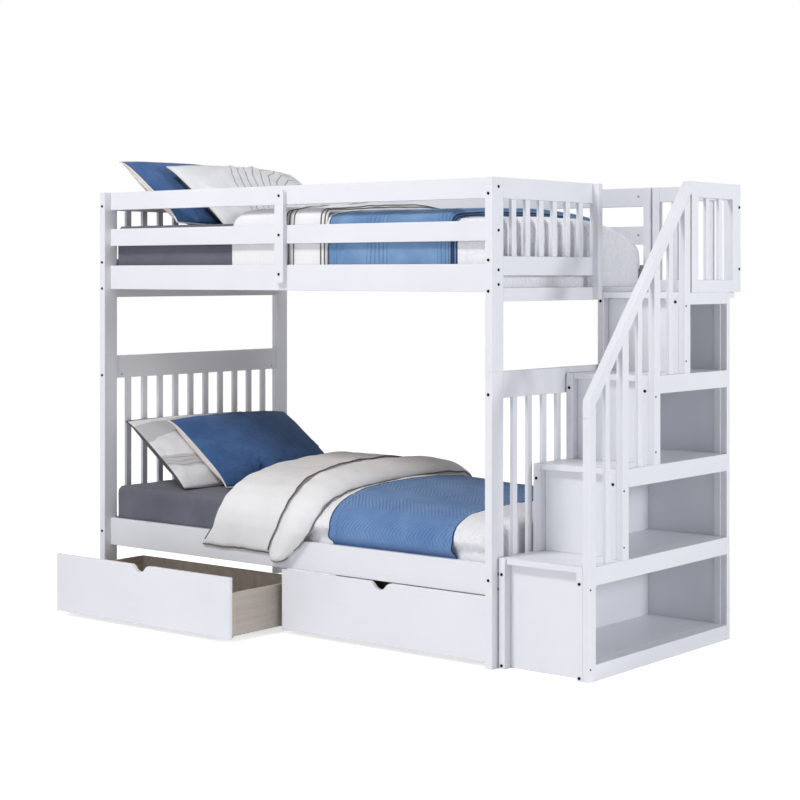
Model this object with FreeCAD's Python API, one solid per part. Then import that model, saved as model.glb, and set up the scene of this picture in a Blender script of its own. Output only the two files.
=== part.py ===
"""Bunk bed with storage stairs, two under-bed drawers and its bedding.

Millimetres, +Z up, +X towards the foot end and the stairs, -Y towards the front.
The pieces are drawn from the head end's outer face (X), the front of the posts (Y)
and the floor (Z), and are moved to the part's own origin when they are written.
"""
import FreeCAD, Part
import math
import os

V = FreeCAD.Vector

# ---- driving dimensions -------------------------------------------------------------
# bed frame
bed_length = 1985.0            # outer face of the head posts to outer face of the foot posts
bed_width = 1106.0
bed_height = 1690.0
seam_z = 1020.0                # where the upper bed's posts stand on the lower bed's posts
post_thickness = 30.0          # along X
post_depth = 69.0              # along Y
rail_setback = 33.6            # side rails and stairs start behind the front of the posts
rail_thickness = 22.0
lower_side_rail_z = (246.0, 356.0)
upper_side_rail_z = (1294.0, 1391.0)
lower_guard_z = (1471.0, 1541.0)
upper_guard_height = 72.0
board_edge = 2.0               # softened edge of every painted board
cut_over = 1.0                 # how far a cutting shape runs past the face it cuts
cloth_gap = 0.4                # between a soft piece and what it lies on

# end panels
end_rail_thickness = 24.0
lower_panel_top_rail_height = 92.0
upper_panel_top_rail_height = 73.0
upper_panel_middle_rail_z = (1351.0, 1418.0)
upper_panel_bottom_rail_z = (1261.0, 1308.0)
slat_width = 28.0
slat_thickness = 13.0
end_panel_slats = 10
entrance_panel_slats = 6
entrance_post_width = 40.0
entrance_post_depth = 26.0
entrance_post_overhang = 26.0  # how far it stands out past the foot end
entrance_post_rise = 1.0       # its foot, above the underside of the panel's bottom rail

# middle boards that tie the guard rails to the side rails
support_board_width = 44.0
support_board_off_middle = 9.5     # towards the head end
support_board_rise = 28.0          # above the underside of the upper side rail
support_board_below_top = 17.0
support_board_thickness = 20.0
support_board_end_radius = 12.0
support_board_bolt_rises = (61.0, 32.0, 33.0)   # above the undersides of the rails it ties

# bed slats
cleat_width = 25.0
cleat_height = 24.0
upper_cleat_rise = 20.0        # above the underside of the upper side rail
bed_slat_thickness = 15.0
bed_slat_width = 70.0
bed_slat_end_gap = 1.0
bed_slats_per_bed = 13

# fasteners
bolt_radius = 2.5
bolt_head_radius = 5.2
bolt_head_height = 2.5
bolt_head_chamfer = 0.6
bolt_socket_radius = 2.2
bolt_socket_depth = 1.6
bolt_hole_clearance = 0.2
bolt_reach = 45.0              # how far a bolt runs into the piece that it holds
bolt_end_wall = 6.0            # wood left past a bolt that ends inside a rail's thickness
bolt_inset_in_rail = 5.0       # from the rail's outer face to the bolt's axis
nut_radius = 5.0
nut_length = 19.0
nut_from_end = 30.0
# bolt heights above the undersides of the rails that they hold
lower_rail_bolt_rises = (27.0, 78.0)
upper_rail_bolt_rises = (26.0, 76.0)
lower_guard_bolt_rise = 36.0
upper_guard_bolt_rise = 39.0
lower_panel_bolt_rises = (59.0, 14.0)
upper_panel_bolt_rises = (36.0, 53.0, 16.0)
pin_radius = 5.0
pin_length = 60.0
pin_clearance = 0.2
screw_radius = 1.8
screw_head_radius = 3.4
screw_head_height = 1.2
screw_reach = 20.0
screw_clearance = 0.2

# stairs
stair_gap = 4.0                # between the bed's foot posts and the stairs
stair_width = 343.0            # carcass, without the handrail layer
stair_side_thickness = 26.0
handrail_layer = 26.0
step_going = 208.5             # from the front of one step to the front of the next
step_rises = (381.0, 309.0, 310.0, 289.0)
stair_back_inset = 117.0       # from the back of the bed to the back of the stairs
stair_post_depth = 36.0
tread_thickness = 22.0
tread_setback = 10.0
riser_thickness = 18.0
stair_back_thickness = 12.0
bottom_shelf_top = 56.0
newel_width = 42.5
outer_stile_width = 40.0
outer_back_stile_width = 23.0
shelf_rail_height = 63.0
top_shelf_rail_height = 43.0
inner_back_stile_width = 26.0
handrail_front_top_z = 937.0
handrail_level_length = 19.5   # level stretch where the handrail meets the side guard
handrail_drop = 64.0           # height of the handrail's cut, measured upright
stair_bolt_low_z = 12.0
stair_bolt_below_top = (56.0, 52.0, 54.0, 33.0)
stair_screw_inset = 8.0
stair_screw_below_top = 73.0
stair_screw_below_rail = 5.0
stair_screw_above_bottom = 44.0

# guard around the platform
guard_setback = 34.0           # from the back of the bed
guard_thickness = 25.0
guard_stile_width = 32.0
guard_bottom_rail_height = 45.0
guard_top_rail_height = 57.0
side_guard_inset = 50.0        # behind the front of the platform
side_guard_front_width = 48.0
side_guard_back_width = 60.0
side_guard_slats = 2
back_guard_slats = 3
guard_bolt_rise = 86.0         # lower bolt, above the platform
guard_bolt_below_top = 85.0

# drawers
drawer_front_thickness = 16.0
drawer_front_setback = 15.0    # closed front, behind the front of the posts
drawer_floor_gap = 18.0
drawer_post_gap = 4.0
drawer_to_drawer_gap = 9.0
drawer_rail_gap = 1.0
drawer_open = 272.0            # the left drawer stands open by this much
drawer_side_inset = 12.0
drawer_wall = 12.0
drawer_box_depth = 440.0
drawer_box_z = (25.0, 185.0)
drawer_bottom_thickness = 6.0
notch_half_width = 60.0
notch_depth = 27.0
notch_shoulder = (26.0, 16.2)  # off the notch's middle, and below the top edge
notch_flare = (36.0, 5.4)
wheel_radius = 20.0
wheel_width = 14.0
wheel_edge = 2.0
wheel_floor_gap = 0.5
wheel_top_clearance = 1.5
axle_radius = 3.0
axle_clearance = 0.08
bracket_cheek = 4.0
bracket_web = 2.0
bracket_side_gap = 1.0
bracket_length = 36.0
bracket_below_axle = 7.5
wheel_inset_x = 70.0
wheel_inset_y = 70.0

# bedding
mattress_end_room = 20.0       # both ends together, between the posts' inner faces
mattress_head_gap = 4.0
mattress_side_room = 9.4
mattress_thickness = 200.0
mattress_corner = 30.0
mattress_rim = 18.0
cover_top = 8.0                # thickness of a coverlet or throw on top, at its sides and end
cover_side = 4.0
cover_end = 3.0
coverlet_x0 = {"lower": 700.0, "upper": 690.0}
coverlet_hem_rise = {"lower": 20.0, "upper": 10.0}     # above the slats
throw_x0 = {"lower": 1231.0, "upper": 1191.0}
throw_hem_rise = {"lower": 30.0, "upper": 20.0}
throw_foot_gap = 146.0         # from the foot end of the mattress
pillow_lean = 53.0             # degrees of the pillow's face from upright
pillow_length = 430.0
pillow_draw_in = 16.0
pillow_edge = 5.0
pillow_squareness = 2.2
pillow_sections = (-1.0, -0.93, -0.7, -0.35, 0.0, 0.35, 0.7, 0.93, 1.0)
# name: bed, top edge from the head end, limits across the bed, front and back crowns
pillows = {
    "pillow_striped_lower": ("lower", 40.0, (108.0, 800.0), 34.0, 30.0),
    "pillow_blue_lower": ("lower", 150.0, (238.0, 950.0), 70.0, 30.0),
    "pillow_blue_upper": ("upper", 45.0, (66.0, 800.0), 40.0, 34.0),
    "pillow_striped_upper": ("upper", 190.0, (195.0, 950.0), 70.0, 30.0),
}
# folded duvets: edge, piped seam and end of the roll along the bed, then their heights
lower_duvet_flat = (
    (520.0, 915.0, 1140.0, 42.0, 52.0),
    (505.0, 915.0, 1145.0, 70.0, 84.0),
    (500.0, 918.0, 1150.0, 84.0, 100.0),
    (510.0, 920.0, 1160.0, 80.0, 94.0),
)
lower_duvet_hanging = (
    (530.0, 925.0, 1165.0, 66.0, 80.0),
    (548.0, 935.0, 1165.0, 52.0, 64.0),
    (556.0, 938.0, 1162.0, 48.0, 60.0),
    (580.0, 945.0, 1150.0, 40.0, 52.0),
    (600.0, 955.0, 1120.0, 34.0, 46.0),
    (615.0, 965.0, 1080.0, 28.0, 38.0),
)
lower_duvet_leans = (10.0, 45.0, 66.0, 84.0, 90.0, 90.0)
lower_duvet_rail_gap = 3.0
lower_duvet_hem_drop = 66.0    # below the top of the side rail
upper_duvet_x = (700.0, 975.0, 1186.0)
upper_duvet_heights = ((26.0, 34.0), (46.0, 56.0), (62.0, 74.0))
upper_duvet_shoulder = 60.0
upper_duvet_edge_inset = 6.0
upper_tuck_inset = 6.0
upper_tuck_thickness = 12.0
upper_tuck_rise = 13.0         # above the slats

# ---- derived places -----------------------------------------------------------------
upper_guard_z = (bed_height - upper_guard_height, bed_height)
rail_front_y = (rail_setback, rail_setback + rail_thickness)
rail_back_y = (bed_width - rail_setback - rail_thickness, bed_width - rail_setback)
rail_x = (post_thickness, bed_length - post_thickness)
panel_y = (post_depth, bed_width - post_depth)
head_panel_x = (0.0, end_rail_thickness)
foot_panel_x = (bed_length - end_rail_thickness, bed_length)
post_centre_x = post_thickness / 2
rail_bolt_y = rail_setback + bolt_inset_in_rail
lower_cleat_z0 = lower_side_rail_z[0]
upper_cleat_z0 = upper_side_rail_z[0] + upper_cleat_rise
slat_top = {
    "lower": lower_cleat_z0 + cleat_height + bed_slat_thickness,
    "upper": upper_cleat_z0 + cleat_height + bed_slat_thickness,
}
mattress_top = {bed: top + mattress_thickness for bed, top in slat_top.items()}

step_front_y = tuple(rail_setback + step * step_going for step in range(len(step_rises)))
step_top_z = tuple(sum(step_rises[:step + 1]) for step in range(len(step_rises)))
step_bottom_z = (0.0,) + step_top_z[:-1]
platform_front_y = step_front_y[-1]
platform_top = step_top_z[-1]
platform_under = platform_top - tread_thickness
stair_back_y = bed_width - stair_back_inset
stair_x0 = bed_length + stair_gap
stair_x1 = stair_x0 + stair_width
outer_x = (stair_x1, stair_x1 + handrail_layer)
stair_left_x = (stair_x0, stair_x0 + stair_side_thickness)
stair_right_x = (stair_x1 - stair_side_thickness, stair_x1)
stair_inside_x = (stair_left_x[1], stair_right_x[0])
stair_back_inner_y = stair_back_y - stair_back_thickness
entrance_post_x = (bed_length + entrance_post_overhang - entrance_post_width,
                   bed_length + entrance_post_overhang)
entrance_post_y = (platform_front_y - entrance_post_depth, platform_front_y)
guard_back_y = (bed_width - guard_setback - guard_thickness, bed_width - guard_setback)
side_guard_front_y = platform_front_y + side_guard_inset
handrail_top_y = side_guard_front_y - handrail_level_length
handrail_slope = (bed_height - handrail_front_top_z) / (handrail_top_y - step_front_y[0])

drawer_front_height = lower_side_rail_z[0] - drawer_rail_gap - drawer_floor_gap
drawers_room = rail_x[1] - rail_x[0] - 2 * drawer_post_gap
drawer_front_width = (drawers_room - drawer_to_drawer_gap) / 2
drawer_left_x = rail_x[0] + drawer_post_gap
drawer_right_x = drawer_left_x + drawer_front_width + drawer_to_drawer_gap
wheel_axis_z = wheel_radius + wheel_floor_gap
drawer_bottom_z0 = wheel_axis_z + wheel_radius + wheel_top_clearance + bracket_web
drawer_bottom_z = (drawer_bottom_z0, drawer_bottom_z0 + drawer_bottom_thickness)

mattress_x0 = rail_x[0] + mattress_head_gap
mattress_x = (mattress_x0, mattress_x0 + rail_x[1] - rail_x[0] - mattress_end_room)
mattress_y = (rail_front_y[1] + mattress_side_room, rail_back_y[0] - mattress_side_room)
throw_x1 = mattress_x[1] - throw_foot_gap
cover_pitch = cloth_gap + cover_top            # one cloth lying on another
duvet_rise = cloth_gap + cover_pitch           # duvets lie on the coverlet

origin_x = outer_x[1] / 2
origin_y = (bed_width + bolt_head_height + drawer_front_setback - drawer_open) / 2


# ---- small makers -------------------------------------------------------------------
def block(x, y, z):
    """Plain box between pairs of limits."""
    return Part.makeBox(x[1] - x[0], y[1] - y[0], z[1] - z[0], V(x[0], y[0], z[0]))


def board(x, y, z, edge=board_edge):
    """Box with softened edges."""
    box = block(x, y, z)
    return box.makeFillet(edge, box.Edges)


def rod(start, direction, radius, length):
    """Round bar from a point along a direction."""
    return Part.makeCylinder(radius, length, V(*start), V(*direction))


def mirror_y(y):
    """The same pair of limits on the other long side of the bed."""
    return (bed_width - y[1], bed_width - y[0])


def mirror_x(x):
    """The same pair of limits at the other end of the bed."""
    return (bed_length - x[1], bed_length - x[0])


def prism_x(points, x):
    """Solid between two X limits from corners in the YZ plane."""
    corners = [V(x[0], y, z) for y, z in points]
    face = Part.Face(Part.makePolygon(corners + [corners[0]]))
    return face.extrude(V(x[1] - x[0], 0, 0))


def softened(shape, edge=board_edge):
    """Round every edge of a straight-sided board."""
    return shape.makeFillet(edge, shape.Edges)


def evenly(start, stop, width, count):
    """Start places of equal slats with equal gaps between them."""
    gap = (stop - start - count * width) / (count + 1)
    return [start + gap + i * (width + gap) for i in range(count)]


def group(shapes):
    """Several separate solids of one node."""
    return Part.makeCompound(shapes)


def moved(point, direction, distance):
    return tuple(p + d * distance for p, d in zip(point, direction))


# ---- fasteners ----------------------------------------------------------------------
class Fastening:
    """A socket bolt, the hole it runs in and, where it has one, its cross nut."""

    def __init__(self, face_point, direction, passes, nut_axis=None, nut_face=None):
        self.point = face_point
        self.direction = direction
        self.length = passes + bolt_reach
        self.nut_centre = moved(face_point, direction, passes + nut_from_end)
        self.nut_axis = nut_axis
        self.nut_face = nut_face

    def bolt(self):
        head_start = moved(self.point, self.direction, -bolt_head_height)
        head = rod(head_start, self.direction, bolt_head_radius, bolt_head_height)
        rim = [e for e in head.Edges if e.Curve.TypeId == "Part::GeomCircle"
               and (e.CenterOfMass - V(*head_start)).Length < bolt_head_height / 2]
        head = head.makeChamfer(bolt_head_chamfer, rim)
        socket = rod(head_start, self.direction, bolt_socket_radius, bolt_socket_depth)
        shank = rod(self.point, self.direction, bolt_radius, self.length)
        return head.cut(socket).fuse(shank).removeSplitter()

    def hole(self):
        start = moved(self.point, self.direction, -cut_over)
        return rod(start, self.direction, bolt_radius + bolt_hole_clearance,
                   self.length + 2 * cut_over)

    def nut_start(self):
        """Point on the inner face where the nut goes in, and the way it goes in."""
        centre = list(self.nut_centre)
        index = self.nut_axis
        centre[index] = self.nut_face[0]
        way = [0.0, 0.0, 0.0]
        way[index] = self.nut_face[1]
        return tuple(centre), tuple(way)

    def nut_hole(self):
        start, way = self.nut_start()
        return rod(moved(start, way, -cut_over), way, nut_radius + bolt_hole_clearance,
                   nut_length + cut_over)

    def nut(self):
        start, way = self.nut_start()
        return rod(start, way, nut_radius, nut_length).cut(self.hole())


def drilled(shape, fastenings):
    """Cut the holes of every fastening that runs into the shape."""
    bounds = shape.BoundBox
    for fastening in fastenings:
        tools = [fastening.hole()]
        if fastening.nut_axis is not None:
            tools.append(fastening.nut_hole())
        for tool in tools:
            if bounds.intersect(tool.BoundBox):
                shape = shape.cut(tool)
    return shape


def side_rail_bolt_heights():
    heights = [lower_side_rail_z[0] + rise for rise in lower_rail_bolt_rises]
    heights += [upper_side_rail_z[0] + rise for rise in upper_rail_bolt_rises]
    return heights + [lower_guard_z[0] + lower_guard_bolt_rise, upper_guard_z[0] + upper_guard_bolt_rise]


def panel_bolt_heights(level):
    rises = lower_panel_bolt_rises if level == "lower" else upper_panel_bolt_rises
    return [rail[0] + rise for rail, rise in zip(panel_rail_heights(level), rises)]


def side_rail_fastenings():
    """Bolts through the ends of the posts into the long rails and guard rails."""
    found = []
    for z in side_rail_bolt_heights():
        for y, inner, way in ((rail_bolt_y, rail_front_y[1], -1.0),
                              (bed_width - rail_bolt_y, rail_back_y[0], 1.0)):
            for x, direction in ((0.0, (1, 0, 0)), (bed_length, (-1, 0, 0))):
                found.append(Fastening((x, y, z), direction, post_thickness, 1, (inner, way)))
    return found


def panel_fastenings(end):
    """Bolts through the front and back of the posts into one end panel's rails."""
    x = post_centre_x if end == "head" else bed_length - post_centre_x
    inner = (head_panel_x[1], -1.0) if end == "head" else (foot_panel_x[0], 1.0)
    found = []
    short_rail_heights = panel_bolt_heights("upper")[1:] if end == "foot" else []
    for z in panel_bolt_heights("lower") + panel_bolt_heights("upper"):
        found.append(Fastening((x, 0.0, z), (0, 1, 0), post_depth, 0, inner))
        if z not in short_rail_heights:
            found.append(Fastening((x, bed_width, z), (0, -1, 0), post_depth, 0, inner))
    return found


def entrance_fastenings():
    """Bolts through the entrance post into the two short rails."""
    x = (entrance_post_x[0] + foot_panel_x[1]) / 2
    inner = (foot_panel_x[0], 1.0)
    return [Fastening((x, entrance_post_y[1], z), (0, -1, 0), entrance_post_depth, 0, inner)
            for z in panel_bolt_heights("upper")[1:]]


def support_board_fastenings():
    """Through bolts of the middle boards, ending in the rails."""
    x = sum(support_board_x()) / 2
    found = []
    for rail, rise in zip((upper_side_rail_z, lower_guard_z, upper_guard_z), support_board_bolt_rises):
        z = rail[0] + rise
        for y, direction in ((rail_setback - support_board_thickness, (0, 1, 0)),
                             (bed_width - rail_setback + support_board_thickness, (0, -1, 0))):
            fastening = Fastening((x, y, z), direction, support_board_thickness)
            fastening.length = support_board_thickness + rail_thickness - bolt_end_wall
            found.append(fastening)
    return found


def stair_fastenings():
    """Bolts in the fronts of the stair posts and in the back post of the side guard."""
    found = []
    for y, top, below in zip(step_front_y, step_top_z, stair_bolt_below_top):
        heights = [top - below]
        if y == step_front_y[0]:
            heights.append(stair_bolt_low_z)
        for z in heights:
            for x in (sum(stair_left_x) / 2, sum(stair_right_x) / 2):
                found.append(Fastening((x, y, z), (0, 1, 0), stair_post_depth))
    for z in (platform_top + guard_bolt_rise, bed_height - guard_bolt_below_top):
        y = sum(guard_back_y) / 2
        fastening = Fastening((outer_x[1], y, z), (-1, 0, 0), handrail_layer)
        fastening.length = handrail_layer + guard_stile_width - bolt_end_wall
        found.append(fastening)
    return found


def stair_screw_places():
    """Screw heads on the outer stiles: two above each other at every step."""
    places = []
    for y, bottom, top in zip(step_front_y, step_bottom_z, step_top_z):
        upper = top - stair_screw_below_top
        lower = bottom + stair_screw_above_bottom
        if top == platform_top:
            upper = top - top_shelf_rail_height - stair_screw_below_rail
        places += [(y + stair_screw_inset, lower), (y + stair_screw_inset, upper)]
    return places


def stair_screw(y, z, grow=0.0):
    head = rod((outer_x[1], y, z), (1, 0, 0), screw_head_radius, screw_head_height)
    shank = rod((outer_x[1], y, z), (-1, 0, 0), screw_radius + grow, handrail_layer + screw_reach)
    return head.fuse(shank)


# ---- bed frame ----------------------------------------------------------------------
def post(end, side, level, fastenings, pins):
    x = (0.0, post_thickness)
    y = (0.0, post_depth)
    if end == "foot":
        x = mirror_x(x)
    if side == "back":
        y = mirror_y(y)
    z = (0.0, seam_z) if level == "lower" else (seam_z, bed_height)
    shape = drilled(board(x, y, z), fastenings)
    for pin in pins:
        if shape.BoundBox.intersect(pin.BoundBox):
            shape = shape.cut(pin)
    return shape


def post_pins(grow=0.0):
    """Steel pins that key the upper posts onto the lower ones."""
    length = pin_length + 2 * grow
    found = []
    for x in (post_centre_x, bed_length - post_centre_x):
        for y in (post_depth / 2, bed_width - post_depth / 2):
            found.append(rod((x, y, seam_z - length / 2), (0, 0, 1), pin_radius + grow, length))
    return found


def panel_rail_heights(level):
    if level == "lower":
        return [lower_side_rail_z, (seam_z - lower_panel_top_rail_height, seam_z)]
    top = (bed_height - upper_panel_top_rail_height, bed_height)
    return [upper_panel_bottom_rail_z, upper_panel_middle_rail_z, top]


def end_rails(end, level, fastenings):
    x = head_panel_x if end == "head" else foot_panel_x
    rails = []
    for z in panel_rail_heights(level):
        y = panel_y
        short = end == "foot" and level == "upper" and z != upper_panel_bottom_rail_z
        if short:
            y = (panel_y[0], entrance_post_y[0])
        rails.append(drilled(board(x, y, z), fastenings))
    return rails


def end_slats(end):
    """Upright slats of both panels of one end, centred in their rails."""
    middle = sum(head_panel_x if end == "head" else foot_panel_x) / 2
    x = (middle - slat_thickness / 2, middle + slat_thickness / 2)
    slats = []
    for level in ("lower", "upper"):
        rails = panel_rail_heights(level)
        z = (rails[-2][1], rails[-1][0])
        stop = panel_y[1]
        count = end_panel_slats
        if end == "foot" and level == "upper":
            stop = entrance_post_y[0]
            count = entrance_panel_slats
        for y in evenly(panel_y[0], stop, slat_width, count):
            slats.append(board(x, (y, y + slat_width), z))
    return slats


def entrance_post(fastenings):
    """Post beside the entrance, lapped over the panel's bottom rail."""
    foot_z = upper_panel_bottom_rail_z[0] + entrance_post_rise
    shape = board(entrance_post_x, entrance_post_y, (foot_z, bed_height))
    lap = block((entrance_post_x[0] - cut_over, foot_panel_x[1]),
                (entrance_post_y[0] - cut_over, entrance_post_y[1] + cut_over),
                (foot_z - cut_over, upper_panel_bottom_rail_z[1]))
    return drilled(shape.cut(lap), fastenings)


def long_boards(heights, fastenings):
    """The same boards on the front and the back of the bed."""
    boards = []
    for z in heights:
        for y in (rail_front_y, rail_back_y):
            boards.append(drilled(board(rail_x, y, z), fastenings))
    return boards


def support_board_x():
    x0 = (bed_length - support_board_width) / 2 - support_board_off_middle
    return (x0, x0 + support_board_width)


def support_boards(fastenings):
    front_y = (rail_setback - support_board_thickness, rail_setback)
    z = (upper_side_rail_z[0] + support_board_rise, bed_height - support_board_below_top)
    boards = []
    for y in (front_y, mirror_y(front_y)):
        box = block(support_board_x(), y, z)
        ends = [e for e in box.Edges if abs(e.Vertexes[0].Point.y - e.Vertexes[-1].Point.y) > 1]
        rounded = box.makeFillet(support_board_end_radius, ends)
        boards.append(drilled(rounded, fastenings))
    return boards


def slat_cleats():
    cleats = []
    front_y = (rail_front_y[1], rail_front_y[1] + cleat_width)
    for z0 in (lower_cleat_z0, upper_cleat_z0):
        for y in (front_y, mirror_y(front_y)):
            cleats.append(board(rail_x, y, (z0, z0 + cleat_height)))
    return cleats


def bed_slats():
    slats = []
    y = (rail_front_y[1] + bed_slat_end_gap, rail_back_y[0] - bed_slat_end_gap)
    for top in slat_top.values():
        for x in evenly(rail_x[0], foot_panel_x[0], bed_slat_width, bed_slats_per_bed):
            slats.append(board((x, x + bed_slat_width), y, (top - bed_slat_thickness, top)))
    return slats


# ---- stairs -------------------------------------------------------------------------
def carcass_top(index):
    """Top of a step's side posts: the platform lies over the last ones."""
    return min(step_top_z[index], platform_under)


def stair_left_side(fastenings):
    points = [(step_front_y[0] + stair_post_depth, 0.0), (stair_back_y, 0.0),
              (stair_back_y, platform_under)]
    for index in reversed(range(len(step_front_y))):
        front = step_front_y[index] + stair_post_depth
        points.append((front, carcass_top(index)))
        if index:
            points.append((front, step_top_z[index - 1]))
    return drilled(softened(prism_x(points, stair_left_x)), fastenings)


def stair_inner_frame(fastenings, screws):
    """Front posts of both sides, and the rails and back stile of the open side."""
    pieces = []
    for index, y in enumerate(step_front_y):
        z = (step_bottom_z[index], carcass_top(index))
        for x in (stair_left_x, stair_right_x):
            pieces.append(board(x, (y, y + stair_post_depth), z))
    back_y = (stair_back_y - inner_back_stile_width, stair_back_y)
    pieces.append(board(stair_right_x, back_y, (0.0, platform_under)))
    heights = [(0.0, bottom_shelf_top)]
    heights += [(top - shelf_rail_height, top) for top in step_top_z[:-1]]
    heights.append((platform_top - top_shelf_rail_height, platform_under))
    fronts = (step_front_y[0],) + step_front_y
    for front, z in zip(fronts, heights):
        pieces.append(board(stair_right_x, (front + stair_post_depth, back_y[0]), z))
    finished = []
    for piece in pieces:
        piece = drilled(piece, fastenings)
        for screw in screws:
            if piece.BoundBox.intersect(screw.BoundBox):
                piece = piece.cut(screw)
        finished.append(piece)
    return finished


def stair_treads():
    """Three treads, the platform's board and the shelf near the floor."""
    pieces = []
    for front, top in zip(step_front_y[:-1], step_top_z[:-1]):
        y = (front + tread_setback, stair_back_inner_y)
        pieces.append(board(stair_inside_x, y, (top - tread_thickness, top)))
    pieces.append(board((stair_x0, stair_x1), (platform_front_y, guard_back_y[1]),
                        (platform_under, platform_top)))
    shelf_y = (step_front_y[0] + stair_post_depth + riser_thickness, stair_back_inner_y)
    shelf_z = (bottom_shelf_top - tread_thickness, bottom_shelf_top)
    pieces.append(board(stair_inside_x, shelf_y, shelf_z))
    return pieces


def stair_risers():
    pieces = []
    for front, bottom, top in zip(step_front_y, step_bottom_z, step_top_z):
        y = (front + stair_post_depth, front + stair_post_depth + riser_thickness)
        pieces.append(board(stair_inside_x, y, (bottom, top - tread_thickness)))
    return pieces


def stair_back_panel():
    return board(stair_inside_x, (stair_back_inner_y, stair_back_y), (0.0, platform_under))


def handrail_under(y):
    """Height of the handrail's underside above a place along the stairs."""
    return handrail_front_top_z - handrail_drop + handrail_slope * (y - step_front_y[0])


def upright(y, z0, x):
    """A stile or slat whose top follows the handrail."""
    points = [(y[0], z0), (y[1], z0), (y[1], handrail_under(y[1])), (y[0], handrail_under(y[0]))]
    return softened(prism_x(points, x))


def stair_outer_frame(screws):
    """Newel, stiles under the handrail, back stile and the rails in front of the shelves."""
    back_stile_y = (stair_back_y - outer_back_stile_width, stair_back_y)
    pieces = []
    fronts = []
    for front, bottom in zip(step_front_y, step_bottom_z):
        width = newel_width if bottom == 0.0 else outer_stile_width
        pieces.append(upright((front, front + width), bottom, outer_x))
        fronts.append(front + width)
    pieces.append(board(outer_x, back_stile_y, (0.0, platform_top)))
    pieces.append(board(outer_x, (fronts[0], back_stile_y[0]), (0.0, bottom_shelf_top)))
    for front, top in zip(fronts, step_top_z):
        height = top_shelf_rail_height if top == platform_top else shelf_rail_height
        pieces.append(board(outer_x, (front, back_stile_y[0]), (top - height, top)))
    finished = []
    for piece in pieces:
        for screw in screws:
            if piece.BoundBox.intersect(screw.BoundBox):
                piece = piece.cut(screw)
        finished.append(piece)
    return finished


def stair_handrail():
    front = step_front_y[0]
    back = side_guard_front_y
    points = [(front, handrail_under(front)), (back, handrail_under(back)), (back, bed_height),
              (handrail_top_y, bed_height), (front, handrail_front_top_z)]
    return softened(prism_x(points, outer_x))


def stair_balusters():
    middle = sum(outer_x) / 2
    x = (middle - slat_thickness / 2, middle + slat_thickness / 2)
    pieces = []
    for front, following, top in zip(step_front_y, step_front_y[1:], step_top_z):
        stile_width = newel_width if front == step_front_y[0] else outer_stile_width
        y = evenly(front + stile_width, following, slat_width, 1)[0]
        pieces.append(upright((y, y + slat_width), top, x))
    return pieces


def guard_heights():
    return ((platform_top, platform_top + guard_bottom_rail_height),
            (bed_height - guard_top_rail_height, bed_height))


def side_guard_limits():
    front = (side_guard_front_y, side_guard_front_y + side_guard_front_width)
    back = (guard_back_y[1] - side_guard_back_width, guard_back_y[1])
    return front, back


def side_guard_frame(fastenings):
    front, back = side_guard_limits()
    pieces = [board(outer_x, y, (platform_top, bed_height)) for y in (front, back)]
    pieces += [board(outer_x, (front[1], back[0]), z) for z in guard_heights()]
    return [drilled(piece, fastenings) for piece in pieces]


def back_guard_stiles():
    return ((stair_x0, stair_x0 + guard_stile_width), (stair_x1 - guard_stile_width, stair_x1))


def back_guard_frame(fastenings):
    left, right = back_guard_stiles()
    pieces = [board(x, guard_back_y, (platform_top, bed_height)) for x in (left, right)]
    pieces += [board((left[1], right[0]), guard_back_y, z) for z in guard_heights()]
    return [drilled(piece, fastenings) for piece in pieces]


def platform_guard_slats():
    bottom, top = guard_heights()
    z = (bottom[1], top[0])
    front, back = side_guard_limits()
    middle_x = sum(outer_x) / 2
    middle_y = sum(guard_back_y) / 2
    x = (middle_x - slat_thickness / 2, middle_x + slat_thickness / 2)
    y = (middle_y - slat_thickness / 2, middle_y + slat_thickness / 2)
    left, right = back_guard_stiles()
    slats = [board(x, (start, start + slat_width), z)
             for start in evenly(front[1], back[0], slat_width, side_guard_slats)]
    slats += [board((start, start + slat_width), y, z)
              for start in evenly(left[1], right[0], slat_width, back_guard_slats)]
    return slats


# ---- drawers ------------------------------------------------------------------------
def drawer_front(x0, front_y):
    """Front panel with a flared finger notch in the middle of its top edge."""
    middle = x0 + drawer_front_width / 2
    top = drawer_floor_gap + drawer_front_height
    panel = board((x0, x0 + drawer_front_width), (front_y, front_y + drawer_front_thickness),
                  (drawer_floor_gap, top))

    def at(x, drop):
        return V(middle + x, front_y - cut_over, top - drop)

    left_top, left_over = at(-notch_half_width, 0.0), at(-notch_half_width, -cut_over)
    right_top, right_over = at(notch_half_width, 0.0), at(notch_half_width, -cut_over)
    left_flare, right_flare = at(-notch_flare[0], notch_flare[1]), at(*notch_flare)
    left_shoulder, right_shoulder = at(-notch_shoulder[0], notch_shoulder[1]), at(*notch_shoulder)
    edges = [
        Part.LineSegment(left_over, left_top).toShape(),
        Part.Arc(left_top, left_flare, left_shoulder).toShape(),
        Part.Arc(left_shoulder, at(0.0, notch_depth), right_shoulder).toShape(),
        Part.Arc(right_shoulder, right_flare, right_top).toShape(),
        Part.LineSegment(right_top, right_over).toShape(),
        Part.LineSegment(right_over, left_over).toShape(),
    ]
    depth = drawer_front_thickness + 2 * cut_over
    return panel.cut(Part.Face(Part.Wire(edges)).extrude(V(0, depth, 0)))


def drawer_box(x0, front_y):
    """Two sides and a back, behind the front panel."""
    start = front_y + drawer_front_thickness
    outer = (x0 + drawer_side_inset, x0 + drawer_front_width - drawer_side_inset)
    y = (start, start + drawer_box_depth)
    left = board((outer[0], outer[0] + drawer_wall), y, drawer_box_z)
    right = board((outer[1] - drawer_wall, outer[1]), y, drawer_box_z)
    between = (outer[0] + drawer_wall, outer[1] - drawer_wall)
    back = board(between, (y[1] - drawer_wall, y[1]), drawer_box_z)
    return [left, right, back]


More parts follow.
